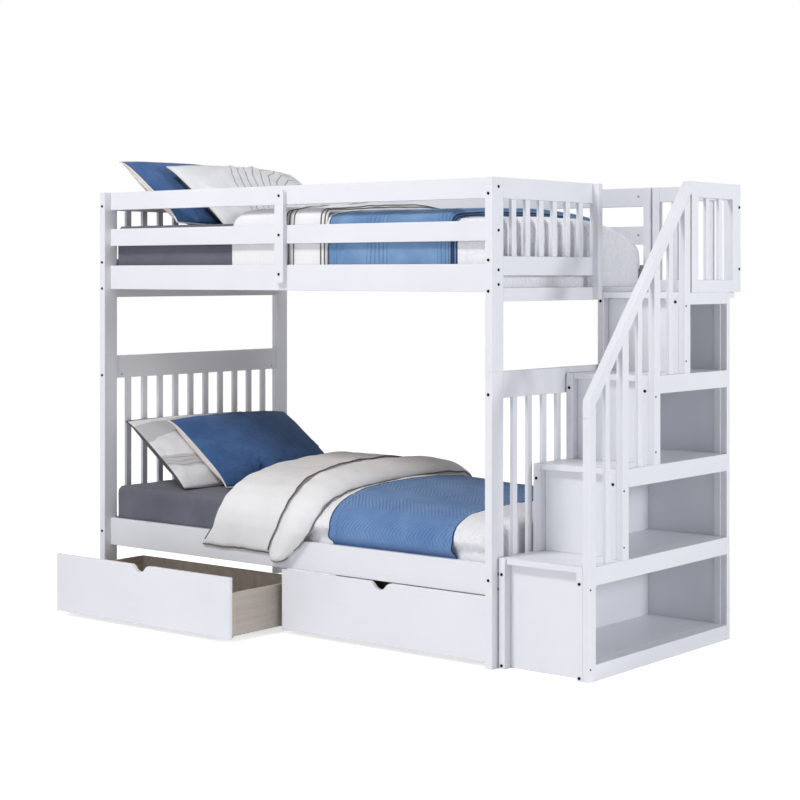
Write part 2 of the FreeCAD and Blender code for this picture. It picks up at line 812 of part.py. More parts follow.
def drawer_bottom(x0, front_y):
    start = front_y + drawer_front_thickness
    inset = drawer_side_inset + drawer_wall
    x = (x0 + inset, x0 + drawer_front_width - inset)
    return block(x, (start, start + drawer_box_depth - drawer_wall), drawer_bottom_z)


def wheel_places(x0, front_y):
    """Axis points of the front pair and of the back pair of wheels."""
    start = front_y + drawer_front_thickness
    inset = drawer_side_inset + wheel_inset_x
    xs = (x0 + inset, x0 + drawer_front_width - inset)
    ys = (start + wheel_inset_y, start + drawer_box_depth - wheel_inset_y)
    return [[(x, y, wheel_axis_z) for x in xs] for y in ys]


def wheel(place):
    x, y, z = place
    rim = rod((x - wheel_width / 2, y, z), (1, 0, 0), wheel_radius, wheel_width)
    circles = [e for e in rim.Edges if e.Curve.TypeId == "Part::GeomCircle"]
    rim = rim.makeFillet(wheel_edge, circles)
    bore = rod((x - wheel_width, y, z), (1, 0, 0), axle_radius + axle_clearance, 2 * wheel_width)
    return rim.cut(bore)


def wheel_bracket(place):
    """U-shaped bracket under the drawer's bottom, with the wheel's axle."""
    x, y, z = place
    half_slot = wheel_width / 2 + bracket_side_gap
    half = half_slot + bracket_cheek
    shell = block((x - half, x + half), (y - bracket_length / 2, y + bracket_length / 2),
                  (z - bracket_below_axle, drawer_bottom_z[0]))
    slot = block((x - half_slot, x + half_slot), (y - bracket_length, y + bracket_length),
                 (z - bracket_length, drawer_bottom_z[0] - bracket_web))
    axle = rod((x - half, y, z), (1, 0, 0), axle_radius, 2 * half)
    return shell.cut(slot).fuse(axle)


# ---- bedding ------------------------------------------------------------------------
def mattress(bed):
    box = block(mattress_x, mattress_y, (slat_top[bed], mattress_top[bed]))
    corners = [e for e in box.Edges if abs(e.Vertexes[0].Z - e.Vertexes[-1].Z) > 1]
    box = box.makeFillet(mattress_corner, corners)
    rims = [e for e in box.Edges if abs(e.BoundBox.ZMin - e.BoundBox.ZMax) < 0.1]
    return box.makeFillet(mattress_rim, rims)


def long_top_edges(box):
    """Edges along X at the top of a box."""
    return [e for e in box.Edges if e.BoundBox.XLength > 1 and e.BoundBox.YLength < 0.1
            and e.CenterOfMass.z > box.CenterOfMass.z]


def cover(bed, x, layer, hem_rise):
    """A thin cloth over the mattress, hanging down inside both side rails."""
    inset = cloth_gap + layer * (cover_side + cloth_gap)
    hem_z = slat_top[bed] + hem_rise
    inner_y = (mattress_y[0] - inset, mattress_y[1] + inset)
    outer_y = (inner_y[0] - cover_side, inner_y[1] + cover_side)
    inner_top = mattress_top[bed] + cloth_gap + layer * cover_pitch
    inner_x1 = min(x[1] + cut_over, mattress_x[1] + cloth_gap)
    outer = block(x, outer_y, (hem_z, inner_top + cover_top))
    inner = block((x[0] - cut_over, inner_x1), inner_y, (hem_z - cut_over, inner_top))
    outer = outer.makeFillet(mattress_rim + cover_side, long_top_edges(outer))
    return outer.cut(inner.makeFillet(mattress_rim, long_top_edges(inner)))


def coverlet(bed):
    """Quilt that also hangs over the foot end of the mattress."""
    x = (coverlet_x0[bed], mattress_x[1] + cloth_gap + cover_end)
    return cover(bed, x, 0, coverlet_hem_rise[bed])


def throw(bed):
    return cover(bed, (throw_x0[bed], throw_x1), 1, throw_hem_rise[bed])


def pillow(bed, top_x, y, crown_front, crown_back):
    """Cushion with a crown and drawn-in long edges, leaning towards the head end."""
    half_width = (y[1] - y[0]) / 2
    angle = math.radians(90.0 - pillow_lean)
    along = V(math.cos(angle), 0, -math.sin(angle))
    outwards = V(math.sin(angle), 0, math.cos(angle))
    wires = []
    for step in pillow_sections:
        swell = math.sqrt(1.0 - abs(step) ** pillow_squareness)
        half_length = pillow_length / 2 - pillow_draw_in * (1.0 - step * step)
        front = pillow_edge + (crown_front - pillow_edge) * swell
        back = pillow_edge + (crown_back - pillow_edge) * swell
        centre = V(0, step * half_width, 0)
        ends = [centre - along * half_length, centre + along * half_length]
        upper = Part.Arc(ends[0], centre + outwards * front, ends[1]).toShape()
        lower = Part.Arc(ends[1], centre - outwards * back, ends[0]).toShape()
        wires.append(Part.Wire([upper, lower]))
    shape = Part.makeLoft(wires, True, False)
    bounds = shape.optimalBoundingBox()
    rest_z = mattress_top[bed] + cloth_gap
    return shape.translated(V(top_x - bounds.XMin, sum(y) / 2, rest_z - bounds.ZMin))


def folded_profile(at, x0, seam_x, x1, fold, roll):
    """Wire of a duvet folded back on itself: a flat fold, a piped seam and a soft roll."""
    nose_x = x0 + 0.45 * fold
    nose = Part.Arc(at(x0, 0.0), at(x0 + 0.08 * fold, 0.6 * fold), at(nose_x, fold))
    flat = Part.Arc(at(nose_x, fold), at((nose_x + seam_x) / 2, 1.05 * fold), at(seam_x, 0.86 * fold))
    roll_x = (seam_x + x1) / 2 + 0.1 * roll
    rolled = Part.Arc(at(seam_x, 0.86 * fold), at(roll_x, roll), at(x1, 0.0))
    under = Part.LineSegment(at(x1, 0.0), at(x0, 0.0))
    return Part.Wire([curve.toShape() for curve in (nose, flat, rolled, under)])


def folded_duvet(stations):
    """Loft a folded duvet through stations: a place (y, z, lean) and its profile's sizes."""
    wires = []
    for (y, z, lean), profile in stations:
        tilt = math.radians(lean)

        def at(x, height, y=y, z=z, tilt=tilt):
            return V(x, y - math.sin(tilt) * height, z + math.cos(tilt) * height)

        wires.append(folded_profile(at, *profile))
    return Part.makeLoft(wires, True, True)


def duvet_lower():
    """Spread over the bed, with its front corner hanging over the side rail."""
    rest = mattress_top["lower"] + duvet_rise
    back = mattress_y[1] - mattress_corner
    front = mattress_y[0] + mattress_corner
    flat_y = (back, (3 * back + front) / 4, (back + front) / 2, (back + 4 * front) / 5)
    cover_face = mattress_y[0] - cloth_gap - cover_side
    rail_face = rail_setback - lower_duvet_rail_gap
    rail_top = lower_side_rail_z[1]
    round_corner = [(mattress_y[0] + 15.0, rest + cloth_gap), (cover_face - 1.6, rest - 6.0),
                    (cover_face - 4.1, rest - 24.0)]
    over_rail = [(rail_face, rail_top + 34.0), (rail_face - 2.0, rail_top - 20.0),
                 (rail_face - 2.0, rail_top - lower_duvet_hem_drop)]
    stations = [((y, rest, 0.0), sizes) for y, sizes in zip(flat_y, lower_duvet_flat)]
    for place, lean, sizes in zip(round_corner + over_rail, lower_duvet_leans, lower_duvet_hanging):
        stations.append((place + (lean,), sizes))
    return folded_duvet(stations)


def duvet_upper():
    """Folded back over the upper bed and tucked down inside its guard rails."""
    rest = mattress_top["upper"] + duvet_rise
    back = mattress_y[1] - upper_duvet_edge_inset
    front = mattress_y[0] + upper_duvet_edge_inset
    places = (back, back - upper_duvet_shoulder, bed_width / 2, front + upper_duvet_shoulder, front)
    edge, shoulder, middle = upper_duvet_heights
    stations = [((y, rest, 0.0), upper_duvet_x + heights)
                for y, heights in zip(places, (edge, shoulder, middle, shoulder, edge))]
    shape = folded_duvet(stations)
    x = (upper_duvet_x[0] + upper_tuck_inset, upper_duvet_x[2] - upper_tuck_inset)
    outer = mattress_y[0] - 2 * (cloth_gap + cover_side)
    top = rest + upper_tuck_thickness
    over = (outer, front)
    down = (outer, outer + cover_side)
    hem_z = slat_top["upper"] + upper_tuck_rise
    for y_over, y_down in ((over, down), (mirror_y(over), mirror_y(down))):
        shape = shape.fuse(block(x, y_over, (rest, top))).fuse(block(x, y_down, (hem_z, top)))
    return shape


# ---- the whole bed ------------------------------------------------------------------
def build():
    rails = side_rail_fastenings()
    head = panel_fastenings("head")
    foot = panel_fastenings("foot")
    entrance = entrance_fastenings()
    middle = support_board_fastenings()
    stairs = stair_fastenings()
    pin_holes = post_pins(pin_clearance)
    screw_holes = [stair_screw(y, z, screw_clearance) for y, z in stair_screw_places()]
    nodes = {}

    for end, own in (("head", head), ("foot", foot)):
        for side in ("front", "back"):
            for level in ("lower", "upper"):
                name = "post_" + end + "_" + side + "_" + level
                nodes[name] = post(end, side, level, rails + own, pin_holes)
        for level in ("lower", "upper"):
            extra = entrance if end == "foot" else []
            nodes[end + "_" + level + "_rails"] = group(end_rails(end, level, own + extra))
        nodes[end + "_slats"] = group(end_slats(end))
    nodes["post_pins"] = group(post_pins())
    nodes["entrance_post"] = entrance_post(entrance)
    nodes["side_rails"] = group(long_boards([lower_side_rail_z, upper_side_rail_z], rails + middle))
    nodes["guard_rails"] = group(long_boards([lower_guard_z, upper_guard_z], rails + middle))
    nodes["support_boards"] = group(support_boards(middle))
    nodes["slat_cleats"] = group(slat_cleats())
    nodes["bed_slats"] = group(bed_slats())
    frame_fastenings = rails + head + foot + entrance + middle
    nodes["frame_bolts"] = group([f.bolt() for f in frame_fastenings])
    nodes["barrel_nuts"] = group([f.nut() for f in frame_fastenings if f.nut_axis is not None])

    nodes["stair_left_side"] = stair_left_side(stairs)
    nodes["stair_inner_frame"] = group(stair_inner_frame(stairs, screw_holes))
    nodes["stair_treads"] = group(stair_treads())
    nodes["stair_risers"] = group(stair_risers())
    nodes["stair_back_panel"] = stair_back_panel()
    nodes["stair_outer_frame"] = group(stair_outer_frame(screw_holes))
    nodes["stair_handrail"] = stair_handrail()
    nodes["stair_balusters"] = group(stair_balusters())
    nodes["side_guard_frame"] = group(side_guard_frame(stairs))
    nodes["back_guard_frame"] = group(back_guard_frame(stairs))
    nodes["platform_guard_slats"] = group(platform_guard_slats())
    nodes["stair_bolts"] = group([f.bolt() for f in stairs])
    nodes["stair_screws"] = group([stair_screw(y, z) for y, z in stair_screw_places()])

    closed_y = drawer_front_setback
    for name, x0, y0 in (("drawer_left", drawer_left_x, closed_y - drawer_open),
                         ("drawer_right", drawer_right_x, closed_y)):
        pairs = wheel_places(x0, y0)
        nodes[name + "_front"] = drawer_front(x0, y0)
        nodes[name + "_box"] = group(drawer_box(x0, y0))
        nodes[name + "_bottom"] = drawer_bottom(x0, y0)
        nodes[name + "_wheel_brackets"] = group([wheel_bracket(p) for pair in pairs for p in pair])
        nodes[name + "_front_wheels"] = group([wheel(p) for p in pairs[0]])
        nodes[name + "_back_wheels"] = group([wheel(p) for p in pairs[1]])

    for bed in slat_top:
        nodes["mattress_" + bed] = mattress(bed)
        nodes["coverlet_" + bed] = coverlet(bed)
        nodes["throw_" + bed] = throw(bed)
    nodes["duvet_lower"] = duvet_lower()
    nodes["duvet_upper"] = duvet_upper()
    for name, placing in pillows.items():
        nodes[name] = pillow(*placing)
    return nodes


def main():
    os.makedirs("parts", exist_ok=True)
    for name, shape in build().items():
        shape.translate(V(-origin_x, -origin_y, 0))
        shape.exportStep("parts/" + name + ".step")
        print(name, len(shape.Solids), "solids", round(shape.Volume / 1000.0, 1), "cm3", shape.isValid())


main()
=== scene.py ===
"""Bunk bed with storage stairs: finishes for the frame, and the bedding on both beds.

Lengths written as whole numbers in the bedding's tables are millimetres from the bed's
front left corner on the floor; place() turns them into the frame's metres.
"""

import math

import bmesh
import bpy
import numpy as np
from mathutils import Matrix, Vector


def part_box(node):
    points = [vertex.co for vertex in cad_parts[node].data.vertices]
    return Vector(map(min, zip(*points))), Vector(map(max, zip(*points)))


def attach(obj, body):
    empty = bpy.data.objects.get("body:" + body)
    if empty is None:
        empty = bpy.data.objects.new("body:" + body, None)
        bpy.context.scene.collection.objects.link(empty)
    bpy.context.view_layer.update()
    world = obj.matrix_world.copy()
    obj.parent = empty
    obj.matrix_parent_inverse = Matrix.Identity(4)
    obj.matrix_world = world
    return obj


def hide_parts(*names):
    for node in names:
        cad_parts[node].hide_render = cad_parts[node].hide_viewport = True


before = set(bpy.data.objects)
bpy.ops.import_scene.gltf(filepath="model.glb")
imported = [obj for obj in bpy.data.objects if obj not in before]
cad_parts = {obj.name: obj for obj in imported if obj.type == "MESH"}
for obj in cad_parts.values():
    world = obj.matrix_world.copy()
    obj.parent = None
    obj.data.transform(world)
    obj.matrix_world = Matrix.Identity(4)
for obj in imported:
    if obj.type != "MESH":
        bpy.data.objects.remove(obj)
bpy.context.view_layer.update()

SCENE = bpy.context.scene
BEDS = ("lower", "upper")
BED_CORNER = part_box("post_head_front_lower")[0]
MATTRESS_TOP = {bed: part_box(f"mattress_{bed}")[1].z * 1000 for bed in BEDS}


def put(name, data):
    """Adds an object with that mesh, lamp or lens to the scene, at the origin."""
    made = bpy.data.objects.new(name, data)
    SCENE.collection.objects.link(made)
    return made


# ---------------- finishes


def linear(red, green, blue):
    """A colour as a paint chart gives it, 0 to 255, in the shader's linear values."""
    parts = [c / 255 for c in (red, green, blue)]
    parts = [c / 12.92 if c <= 0.04045 else ((c + 0.055) / 1.055) ** 2.4 for c in parts]
    return (*parts, 1.0)


def darker(colour, share):
    return tuple(share * part for part in colour)


class Nodes:
    """A node tree under construction."""

    def __init__(self, tree, family):
        self.tree, self.family = tree, family

    def give(self, socket, value):
        """Wires an output into a socket, or sets the socket to a plain value."""
        if isinstance(value, bpy.types.NodeSocket):
            self.tree.links.new(value, socket)
        else:
            socket.default_value = value

    def node(self, kind, inputs=(), **settings):
        """Adds a node; a kind without a family of its own gets the tree's."""
        made = self.tree.nodes.new(kind if "Node" in kind else self.family + kind)
        for key, value in settings.items():
            setattr(made, key, value)
        for socket, value in dict(inputs).items():
            self.give(made.inputs[socket], value)
        return made

    def math(self, operation, *values):
        return self.node("Math", enumerate(values), operation=operation).outputs[0]


class Finish(Nodes):
    """A material under construction. Every method adds nodes and returns their output."""

    def __init__(self, name, **shader_values):
        self.material = bpy.data.materials.new(name)
        self.material.use_nodes = True
        super().__init__(self.material.node_tree, "ShaderNode")
        self.shader = self.tree.nodes["Principled BSDF"]
        for socket, value in shader_values.items():
            self.shader.inputs[socket.replace("_", " ")].default_value = value
        self.place = self.node("TexCoord").outputs["Object"]

    def cloth_map(self):
        """The piece's own UV map, in metres along the cloth."""
        return self.node("UVMap", uv_map="cloth").outputs["UV"]

    def stretched(self, scale, vector=None, turn=0.0):
        inputs = {"Vector": vector or self.place, "Scale": scale, "Rotation": (0, 0, turn)}
        return self.node("Mapping", inputs).outputs["Vector"]

    def noise(self, scale, detail=3.0, vector=None, twist=0.0):
        inputs = {"Vector": vector or self.place, "Scale": scale, "Detail": detail}
        inputs |= {"Roughness": 0.55, "Distortion": twist}
        return self.node("TexNoise", inputs).outputs["Fac"]

    def weave(self, pitch, vector):
        """Plain weave of that pitch in metres, 1 where a warp and a weft thread cross."""
        inputs = {"Vector": vector, "Scale": 0.5 / pitch, "Distortion": 0.3, "Detail": 1.0}
        threads = (self.node("TexWave", inputs, bands_direction=way) for way in "XY")
        return self.math("MULTIPLY", *(thread.outputs["Fac"] for thread in threads))

    def between(self, value, low, high):
        """1 where the value lies between low and high, and 0 elsewhere."""
        above = self.math("GREATER_THAN", value, low)
        return self.math("MULTIPLY", above, self.math("LESS_THAN", value, high))

    def spread(self, value, low, high, to_low=0.0, to_high=1.0, step="LINEAR"):
        """The range low to high of a value, carried to to_low..to_high."""
        inputs = enumerate((value, low, high, to_low, to_high))
        return self.node("MapRange", inputs, interpolation_type=step).outputs[0]

    def rows(self, value, pitch, width, step="SMOOTHSTEP"):
        """Lines a pitch apart: 1 on a line, down to 0 at width, a share of the pitch."""
        phase = self.math("PINGPONG", self.math("DIVIDE", value, pitch), 0.5)
        return self.spread(phase, 0.0, width, 1.0, 0.0, step)

    def blend(self, share, first, second):
        """Mixes two colours; each is an output, or red, green and blue from a paint chart."""
        mix = self.node("Mix", data_type="RGBA")
        for socket, value in (("Factor_Float", share), ("A_Color", first), ("B_Color", second)):
            target = next(s for s in mix.inputs if s.identifier == socket)
            self.give(target, linear(*value) if isinstance(value, tuple) else value)
        return next(s for s in mix.outputs if s.identifier == "Result_Color")

    def reliefs(self, *layers):
        """The normal over layers of (height, depth in metres)."""
        normal = None
        for height, depth in layers:
            inputs = {"Height": height, "Distance": depth, "Strength": 1.0}
            if normal:
                inputs["Normal"] = normal
            normal = self.node("Bump", inputs).outputs["Normal"]
        return normal

    def done(self, colour, roughness, normal=None):
        self.give(self.shader.inputs["Base Color"], colour)
        self.give(self.shader.inputs["Roughness"], roughness)
        if normal:
            self.give(self.shader.inputs["Normal"], normal)
        return self.material


ALONG = {"X": (0.05, 1.0, 1.0), "Y": (1.0, 0.05, 1.0), "Z": (1.0, 1.0, 0.05)}


def white_paint(grain):
    """Sprayed satin paint: a faint orange peel, and the wood's pores just telegraphing."""
    f = Finish(f"white_paint_{grain}", Specular_IOR_Level=0.42)
    pores = f.noise(150.0, 3.0, f.stretched(ALONG[grain]), twist=0.4)
    peel = f.noise(520.0, 1.5)
    colour = f.blend(f.spread(f.noise(2.3, 2.0), 0.3, 0.7), (224, 226, 232), (230, 231, 236))
    colour = f.blend(f.spread(pores, 0.62, 0.78, 0.0, 0.3), colour, (217, 218, 223))
    rough = f.spread(f.noise(34.0), 0.3, 0.7, 0.33, 0.43)
    return f.done(colour, rough, f.reliefs((pores, 0.00012), (peel, 0.00007)))


def bare_wood(name, grain, pale, dark, rings):
    """Unpainted board: long grain, early and late wood, fine pores."""
    f = Finish(name, Specular_IOR_Level=0.35)
    along = f.stretched(ALONG[grain])
    figure = f.noise(rings, 4.0, along, twist=1.6)
    pores = f.noise(620.0, 2.0, along)
    colour = f.blend(f.spread(figure, 0.35, 0.68), pale, dark)
    colour = f.blend(f.spread(pores, 0.58, 0.75, 0.0, 0.45), colour, darker(dark, 0.72))
    rough = f.spread(figure, 0.3, 0.7, 0.46, 0.6)
    return f.done(colour, rough, f.reliefs((figure, 0.0002), (pores, 0.00015)))


def metal(name, colour, roughness, blotch):
    """Plated or blackened steel: a fine grain and slightly uneven patches."""
    f = Finish(name, Metallic=1.0)
    grain = f.noise(900.0)
    tone = f.blend(f.spread(f.noise(160.0, 2.0), 0.35, 0.65), colour, blotch)
    rough = f.spread(grain, 0.3, 0.7, roughness - 0.06, roughness + 0.08)
    return f.done(tone, rough, f.reliefs((grain, 0.00003)))


def moulded_plastic(name, colour, worn):
    """Moulded nylon: a fine texture, duller where it has worn."""
    f = Finish(name, Specular_IOR_Level=0.45)
    texture = f.noise(1500.0, 2.0)
    patch = f.noise(70.0)
    tone = f.blend(f.spread(patch, 0.4, 0.7), colour, worn)
    rough = f.spread(patch, 0.3, 0.7, 0.36, 0.5)
    return f.done(tone, rough, f.reliefs((texture, 0.00004)))


def plain_cloth(name, pale, dark, sheen, pitch=0.0011, crease=0.0009):
    """Cotton or linen: slubs in both directions, soft creases, a little colour drift."""
    f = Finish(name, Sheen_Weight=sheen, Sheen_Roughness=0.5, Specular_IOR_Level=0.2)
    cloth = f.cloth_map()
    ways = ((0.06, 1, 1), (1, 0.06, 1))
    slubs = f.math("MAXIMUM", *(f.noise(260.0, 2.0, f.stretched(way, cloth)) for way in ways))
    colour = f.blend(f.spread(f.noise(5.0), 0.3, 0.7), pale, dark)
    colour = f.blend(f.spread(slubs, 0.55, 0.85, 0.0, 0.35), colour, darker(dark, 0.88))
    soft = f.noise(28.0, 4.0, twist=0.8)
    normal = f.reliefs((soft, crease), (slubs, 0.00018), (f.weave(pitch, cloth), 0.00012))
    return f.done(colour, f.spread(slubs, 0.3, 0.8, 0.78, 0.9), normal)


def puckered_cloth(name, pale, dark, furrow_shade, lines):
    """Stitched cloth: lines(f, cloth) gives 1 in the stitched grooves, which get painted shade,
    and 0 on the puff.
    """
    f = Finish(name, Sheen_Weight=0.12, Sheen_Roughness=0.45, Specular_IOR_Level=0.2)
    cloth = f.cloth_map()
    stitched = lines(f, cloth)
    crinkle = f.noise(190.0, 4.0, twist=1.2)
    crease = f.noise(34.0, 3.0, f.stretched((1.0, 0.5, 1.0), cloth), twist=1.2)
    colour = f.blend(f.spread(f.noise(7.0, 4.0, twist=0.5), 0.32, 0.68), pale, dark)
    colour = f.blend(f.spread(crinkle, 0.5, 0.8, 0.0, 0.25), colour, dark)
    # Painted shade: darkens the stitched grooves by half towards the shade colour.
    colour = f.blend(f.math("MULTIPLY", stitched, 0.5), colour, furrow_shade)
    puff = f.math("SUBTRACT", 1.0, stitched)
    weave = f.weave(0.0012, cloth)
    normal = f.reliefs((puff, 0.0017), (crease, 0.0035), (crinkle, 0.0006), (weave, 0.00015))
    return f.done(colour, f.spread(crinkle, 0.3, 0.7, 0.72, 0.86), normal)


def zigzag_lines(f, cloth):
    """Zigzag stitching across the bed: lines 16 mm apart that turn every 100 mm."""
    across, along, _ = f.node("SeparateXYZ", {0: cloth}).outputs
    wander = f.math("MULTIPLY", f.noise(14.0, 2.0, cloth), 0.012)
    zigzag = f.math("PINGPONG", f.math("SUBTRACT", along, 0.116), 0.1)
    zigzag = f.math("MULTIPLY", zigzag, 0.72)
    return f.rows(f.math("ADD", f.math("SUBTRACT", across, zigzag), wander), 0.016, 0.22)


def pleat_lines(f, cloth):
    """Five thin pleats, 19 mm apart, near the first third and again near the far edge."""
    across = f.node("SeparateXYZ", {0: cloth}).outputs[0]
    wander = f.math("MULTIPLY", f.noise(9.0, 2.0, cloth), 0.02)
    past = f.math("SUBTRACT", f.math("ADD", across, wander), 0.195)
    group = f.math("FLOORED_MODULO", past, 0.325)
    return f.math("MULTIPLY", f.rows(group, 0.019, 0.17), f.math("LESS_THAN", group, 0.096))


def crinkle_lines(f, cloth):
    """Short irregular puckers, as on a washed pillow case."""
    wander = f.noise(16.0, 3.0, cloth, twist=1.5)
    puckers = f.noise(75.0, 2.0, f.stretched((0.35, 1.0, 1.0), cloth, 0.6), twist=2.0)
    mixed = f.math("ADD", puckers, f.math("MULTIPLY", wander, 0.3))
    return f.spread(mixed, 0.64, 0.74, 0.0, 0.55, "SMOOTHSTEP")


def curved_pleats(f, wide, down, wander):
    """Pleats 34 mm apart on rings round one corner of the case, without a grey band."""
    side = f.math("POWER", f.math("SUBTRACT", wide, 0.76), 2.0)
    rise = f.math("POWER", f.math("SUBTRACT", down, 0.46), 2.0)
    far = f.math("POWER", f.math("ADD", side, rise), 0.5)
    rings = f.rows(f.math("ADD", far, f.math("MULTIPLY", wander, 0.2)), 0.034, 0.11)
    return f.math("MULTIPLY", rings, f.between(far, 0.27, 0.58)), 0.0


def straight_pleats(f, wide, down, wander):
    """Pleats 22 mm apart along one grey band, and a plain grey band above it."""
    row = f.math("ADD", down, wander)
    pleated = f.between(row, 0.29, 0.365)
    line = f.math("MULTIPLY", f.rows(row, 0.022, 0.12, "LINEAR"), pleated)
    plain = f.between(row, 0.065, 0.17)
    return line, f.math("MAXIMUM", plain, f.math("MULTIPLY", pleated, 0.8))


def striped_cloth(name, pleats):
    """White case with thin grey pleats: pleats() gives 1 on its lines and on its bands."""
    f = Finish(name, Sheen_Weight=0.2, Specular_IOR_Level=0.2)
    cloth = f.cloth_map()
    wide, down, _ = f.node("SeparateXYZ", {0: cloth}).outputs
    wander = f.math("MULTIPLY", f.noise(6.0, 2.0, cloth), 0.05)
    line, band = pleats(f, wide, down, wander)
    drift = f.spread(f.noise(9.0, 4.0, twist=0.7), 0.35, 0.7)
    colour = f.blend(drift, (233, 234, 237), (218, 219, 222))
    colour = f.blend(f.math("MULTIPLY", band, 0.8), colour, (184, 184, 187))
    colour = f.blend(f.math("MULTIPLY", line, 0.8), colour, (128, 128, 134))
    puff = f.math("SUBTRACT", 1.0, line)
    crease = f.noise(42.0, 4.0, f.stretched((1.0, 2.4, 1.0), cloth), twist=1.6)
    weave = f.weave(0.0011, cloth)
    return f.done(colour, 0.85, f.reliefs((puff, 0.002), (crease, 0.003), (weave, 0.00012)))


def coverlet_cloth(name):
    """White quilt: small cloudy puffs with painted shade towards the hollows between them, fine
    stipple and a soft weave.
    """
    f = Finish(name, Sheen_Weight=0.3, Specular_IOR_Level=0.2)
    cloth = f.cloth_map()
    puffs = f.node("TexVoronoi", {"Vector": cloth, "Scale": 95.0}).outputs["Distance"]
    stipple = f.noise(260.0, 3.0, twist=1.0)
    # Painted shade: paler at each puff's centre, darker towards the stitched hollows between
    # puffs.
    colour = f.blend(f.spread(puffs, 0.25, 0.75), (241, 241, 244), (232, 233, 237))
    colour = f.blend(f.spread(stipple, 0.5, 0.8, 0.0, 0.2), colour, (222, 223, 229))
    cloud = f.spread(puffs, 0.0, 0.8, 1.0, 0.0)
    weave = f.weave(0.0013, cloth)
    return f.done(colour, 0.88, f.reliefs((cloud, 0.0012), (stipple, 0.0004), (weave, 0.00015)))


PAINT = {axis: white_paint(axis) for axis in "XYZ"}
SLAT_WOOD = {
    axis: bare_wood(f"slat_pine_{axis}", axis, (226, 199, 158), (200, 163, 117), 26.0)
    for axis in "XY"
}
DRAWER_WOOD = {
    axis: bare_wood(f"drawer_board_{axis}", axis, (192, 183, 173), (175, 166, 155), 18.0)
    for axis in "XY"
}
FITTINGS = {
    "black_fasteners": metal("black_oxide", (34, 34, 37), 0.42, (22, 22, 25)),
    "steel_fasteners": metal("zinc_steel", (186, 188, 190), 0.3, (160, 163, 168)),
    "wheel_plastic": moulded_plastic("wheel_nylon", (44, 45, 48), (58, 59, 62)),
    "bracket_plastic": moulded_plastic("bracket_nylon", (226, 226, 228), (212, 212, 215)),
}
GREY_SHEET = plain_cloth("grey_sheet", (108, 110, 122), (92, 94, 106), 0.15, crease=0.0016)
LINEN = plain_cloth("duvet_linen", (237, 237, 238), (231, 230, 231), 0.2, 0.0014, 0.0012)
GREY_PIPING = plain_cloth("grey_piping", (124, 120, 116), (100, 97, 93), 0.1)
CREAM_CLOTH = plain_cloth("cream_cloth", (236, 229, 224), (222, 214, 209), 0.2)
DARK_CLOTH = plain_cloth("dark_grey_cloth", (88, 89, 95), (66, 67, 73), 0.2)
NAVY_BINDING = plain_cloth("navy_binding", (44, 70, 112), (34, 54, 92), 0.2)
WHITE_QUILT = coverlet_cloth("white_quilt")
# Pale, dark, and the painted shade colour for the stitched grooves of each blue cloth.
BLUE = ((116, 152, 199), (96, 132, 183), (70, 102, 149))
PALE_BLUE = ((122, 156, 193), (98, 134, 178), (58, 88, 132))
DEEP_BLUE = ((74, 112, 163), (56, 91, 143), (46, 76, 122))
ZIGZAG_QUILT = puckered_cloth("zigzag_quilt", *BLUE, zigzag_lines)
PLEATED_QUILT = puckered_cloth("pleated_quilt", *PALE_BLUE, pleat_lines)
BLUE_CASE = puckered_cloth("blue_case", *DEEP_BLUE, crinkle_lines)
STRAIGHT_STRIPES = striped_cloth("straight_stripes", straight_pleats)
CURVED_STRIPES = striped_cloth("curved_stripes", curved_pleats)


# ---------------- the frame's own parts

GRAIN_OF = {
    "side_rails": "X", "guard_rails": "X", "head_lower_rails": "Y", "head_upper_rails": "Y",
    "foot_lower_rails": "Y", "foot_upper_rails": "Y", "stair_treads": "Y",
    "back_guard_frame": "X", "side_guard_frame": "Y", "stair_back_panel": "Z",
    "drawer_left_front": "X", "drawer_right_front": "X",
}

# Every CAD part that stays gets its own finish, by the slot it was packed with.
for name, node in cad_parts.items():
    finishes = {
        "white_paint": PAINT[GRAIN_OF.get(name, "Z")],
        "slat_wood": SLAT_WOOD["Y" if name == "bed_slats" else "X"],
        "drawer_wood": DRAWER_WOOD["X" if name.endswith("bottom") else "Y"],
        **FITTINGS,
    }
    for index, old in enumerate(list(node.data.materials)):
        slot = old.name.split(".")[0] if old else ""
        if slot in finishes:
            node.data.materials[index] = finishes[slot]


# ---------------- mesh makers


def place(points):
    """Bed millimetres to metres in the frame."""
    moved = np.asarray(points, float) / 1000.0
    moved[..., 0] += BED_CORNER.x
    moved[..., 1] += BED_CORNER.y
    return moved


def grid_of(*parts):
    """A grid of points from arrays of their coordinates."""
    return np.stack(np.broadcast_arrays(*parts), -1)


def quads(index):
    """The faces of a grid of vertex numbers."""
    corners = (index[:-1, :-1], index[1:, :-1], index[1:, 1:], index[:-1, 1:])
    return np.stack(corners, -1).reshape(-1, 4)


def rim_of(grid):
    """Everything on the border of a grid, once round."""
    return np.concatenate([grid[0, :-1], grid[:-1, -1], grid[-1, :0:-1], grid[:0:-1, 0]])


def inside_of(shape):
    """A mask that is False on the border of a grid of that shape."""
    inside = np.zeros(shape, bool)
    inside[1:-1, 1:-1] = True
    return inside


def tidy_shell(mesh, merge=0.0):
    """Merges points closer than merge and turns every face outwards."""
    shell = bmesh.new()
    shell.from_mesh(mesh)
    if merge:
        bmesh.ops.remove_doubles(shell, verts=shell.verts, dist=merge)
    bmesh.ops.recalc_face_normals(shell, faces=shell.faces)
    if shell.calc_volume(signed=True) < 0:
        bmesh.ops.reverse_faces(shell, faces=shell.faces)
    shell.to_mesh(mesh)
    shell.free()


